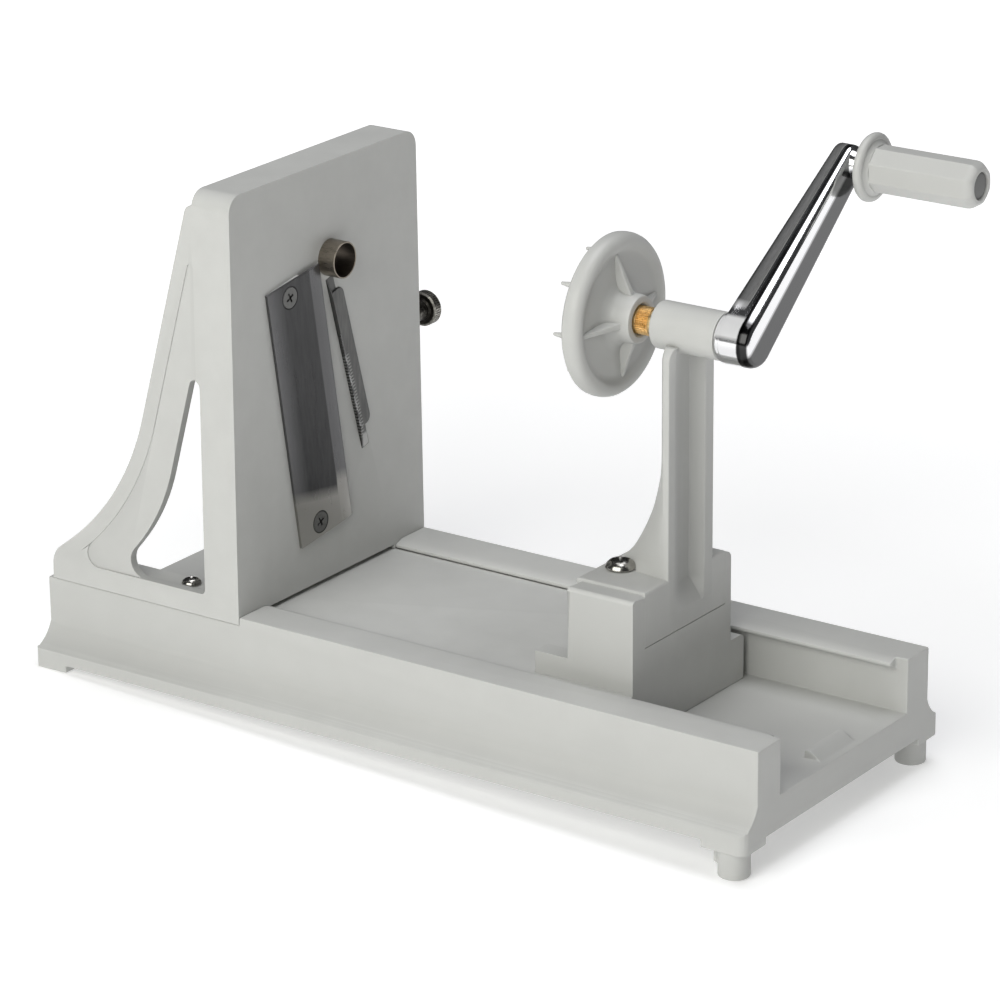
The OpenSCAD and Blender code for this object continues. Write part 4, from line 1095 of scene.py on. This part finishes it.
class BuildGrip(bpy.types.Operator):
    """Grip: flange, eight-sided body and plug"""
    bl_idname = "spiralizer.grip"
    bl_label = "Crank grip"
    half = 8.0
    tip = 3.8
    plug = 4.85
    spindle_hole = 3.1
    flange = 12.5
    flange_rim = ((0, 1.5), (0.35, 0.6), (1.1, 0.1), (1.8, 0), (2.6, 0.2), (3.2, 0.8), (3.5, 1.7), (3.3, 2.3),
                  (3.8, 3.3), (4.6, 4))
    side_turns = (-22.5, -20.8, -19, -7, 7, 19, 20.8)

    def execute(self, context):
        bm = bmesh.new()
        start = on_axis(GRIP_LOW.x, GRIP_AXIS)
        end = GRIP_HIGH.x - GRIP_LOW.x
        steps = [(2.2, 0.9, 0), (3.4, 0.98, 0), (4.2, 1, 0), (end - self.tip, 1, 0)]
        for i in range(1, 6):
            a = pi / 2 * i / 5
            sunk = 1 - cos(a)
            steps.append((end - self.tip + self.tip * sin(a), 1 - 0.3 * sunk, 0.9 * sunk))
        steps += [(end - sunk, r / self.half, 1) for sunk, r in ((0.1, 5.2), (0.5, 4.95), (1.6, 4.9))]
        loft(bm, [self.ring(start, *step) for step in steps])
        rim = below(self.flange, self.flange_rim)
        lathe(bm, [(0, self.spindle_hole), *rim, (4.6, self.spindle_hole)], start, 72)
        make_piece(bm, "grip_body", "grip", ["crank_grip"], "Grip plastic", crease=40)
        bm = bmesh.new()
        side = below(self.plug, [(0, 0.3), (0.3, 0), (4.4, 0), (4.8, 0.35), (5, 0.9)])
        lathe(bm, [(0, 0), *side, (5, 0)], on_axis(PLUG_X, GRIP_AXIS))
        make_piece(bm, "plug_dark", "grip", ["grip_plug"], "Plug plastic")
        return {"FINISHED"}

    def ring(self, start, x, scale, roundness):
        """One outline of the grip: eight flats with soft corners, or a circle when it is fully round."""
        points = []
        for k in range(8):
            for turn in self.side_turns:
                a = radians(45 * k + turn)
                flat = min(self.half / cos(radians(turn)), self.half * 1.073)
                r = scale * (flat * (1 - roundness) + self.half * roundness)
                points.append(start + Vector((x, r * cos(a), r * sin(a))))
        return points


class BuildStage(bpy.types.Operator):
    """Floor, lights and camera"""
    bl_idname = "spiralizer.stage"
    bl_label = "Stage"
    pad_inset = 0.007
    floor_gap = 0.0001

    def execute(self, context):
        self.floor()
        self.lights()
        self.camera()
        return {"FINISHED"}

    def floor(self):
        """A pale floor under the pegs and the blade-end pads; it glows more farther away."""
        bm = bmesh.new()
        bmesh.ops.create_grid(bm, x_segments=1, y_segments=1, size=4.0)
        peg = middle_of("near_edge_peg").x
        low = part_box("base_tray")[0]
        slope = atan2(low.z, peg - (low.x + self.pad_inset))
        move(bm, Matrix.Translation((peg, 0, -self.floor_gap)) @ Matrix.Rotation(slope, 4, "Y"))
        floor = add_object("floor", as_mesh(bm, "floor"))
        material, tree = start_material("Studio floor")
        tone = layered(colours().floor, 0.99, (noise(tree, 3.0, 2.0, 0.5), 1))
        length = node(tree, "VectorMath", (place_pattern(tree),), {"operation": "LENGTH"})
        glow = Value(length.outputs["Value"]).spread(0.22, 0.8, 0.36, 0.7)
        floor.data.materials.append(settle(material, Base_Color=tone, Roughness=0.9,
                                           Emission_Color=rgba(grey(1)), Emission_Strength=glow))

    def light(self, name, place, aim, size, power, colour):
        """A soft rectangular light."""
        data = bpy.data.lights.new(name, "AREA")
        data.shape = "RECTANGLE"
        data.size, data.size_y = size
        data.energy = power
        data.color = colour
        lamp = add_object(name, data)
        lamp.location = place
        lamp.rotation_euler = (Vector(aim) - Vector(place)).to_track_quat("-Z", "Y").to_euler()

    def lights(self):
        """Broad light from the near side, light from above, pale surroundings."""
        self.light("Key", (0.13, -2.05, 1.2), (0, 0, 0.1), (2.2, 1.6), 42, (1, 1, 0.955))
        self.light("Top", (0.1, 0.2, 2.2), (0, 0, 0.1), (1.4, 1.4), 27, (0.985, 0.99, 1.02))
        world = bpy.data.worlds.new("Studio")
        world.use_nodes = True
        back = world.node_tree.nodes["Background"]
        back.inputs["Color"].default_value = (0.95, 0.97, 1, 1)
        back.inputs["Strength"].default_value = 0.04
        bpy.context.scene.world = world
        bpy.context.scene.view_settings.view_transform = "Standard"

    def camera(self):
        """The photograph's viewpoint, for a picture of 1000 by 1001."""
        around, down, roll = radians(35.244), radians(20.03), radians(-0.562)
        distance, shift_x, shift_y, focal = 1672.73, 8.547, 39.048, 4535.6
        level = cos(down)
        ahead = Vector((-sin(around) * level, cos(around) * level, -sin(down)))
        right = Vector((cos(around), sin(around), 0))
        up = right.cross(ahead)
        place = shift_x * right + shift_y * up - distance * ahead + Vector((0, 0, 47))
        rolled = (cos(roll) * right + sin(roll) * up, cos(roll) * up - sin(roll) * right)
        turn = Matrix((rolled[0], rolled[1], -ahead)).transposed().to_4x4()
        data = bpy.data.cameras.new("Photo camera")
        data.sensor_fit = "HORIZONTAL"
        data.sensor_width = 36
        data.lens = focal * 36 / 1000
        data.clip_end = 30
        camera = add_object("Photo camera", data)
        camera.matrix_world = Matrix.Translation(TO_FRAME @ place) @ turn
        bpy.context.scene.camera = camera


STEPS = (BuildTray, BuildStand, BuildBlade, BuildComb, BuildRing, BuildKnob, BuildCarriage, BuildPost,
         BuildScrews, BuildDisc, BuildArm, BuildGrip, BuildStage)


class SpiralizerPanel(bpy.types.Panel):
    """Sizes, colours and pieces of the spiralizer"""
    bl_idname = "VIEW3D_PT_spiralizer"
    bl_label = "Spiralizer"
    bl_space_type = "VIEW_3D"
    bl_region_type = "UI"
    bl_category = "Spiralizer"

    def draw(self, context):
        for group in (context.scene.spiralizer_sizes, context.scene.spiralizer_colours):
            for key in group.bl_rna.properties.keys():
                if key not in ("rna_type", "name"):
                    self.layout.prop(group, key)
        for step in STEPS:
            self.layout.operator(step.bl_idname)


CLASSES = (SpiralizerSizes, SpiralizerColours, *STEPS, SpiralizerPanel)


def register():
    """Registers the classes and hangs the settings on the scene."""
    for kind in CLASSES:
        bpy.utils.register_class(kind)
    bpy.types.Scene.spiralizer_sizes = PointerProperty(type=SpiralizerSizes)
    bpy.types.Scene.spiralizer_colours = PointerProperty(type=SpiralizerColours)


def unregister():
    """Takes the settings and the classes away again."""
    del bpy.types.Scene.spiralizer_sizes
    del bpy.types.Scene.spiralizer_colours
    for kind in reversed(CLASSES):
        bpy.utils.unregister_class(kind)


def corners(box):
    """A box as plain lists of numbers."""
    return [[float(number) for number in corner] for corner in box]


def main():
    """Builds every piece."""
    register()
    for step in STEPS:
        area, action = step.bl_idname.split(".")
        getattr(getattr(bpy.ops, area), action)()


if __name__ == "__main__":
    main()
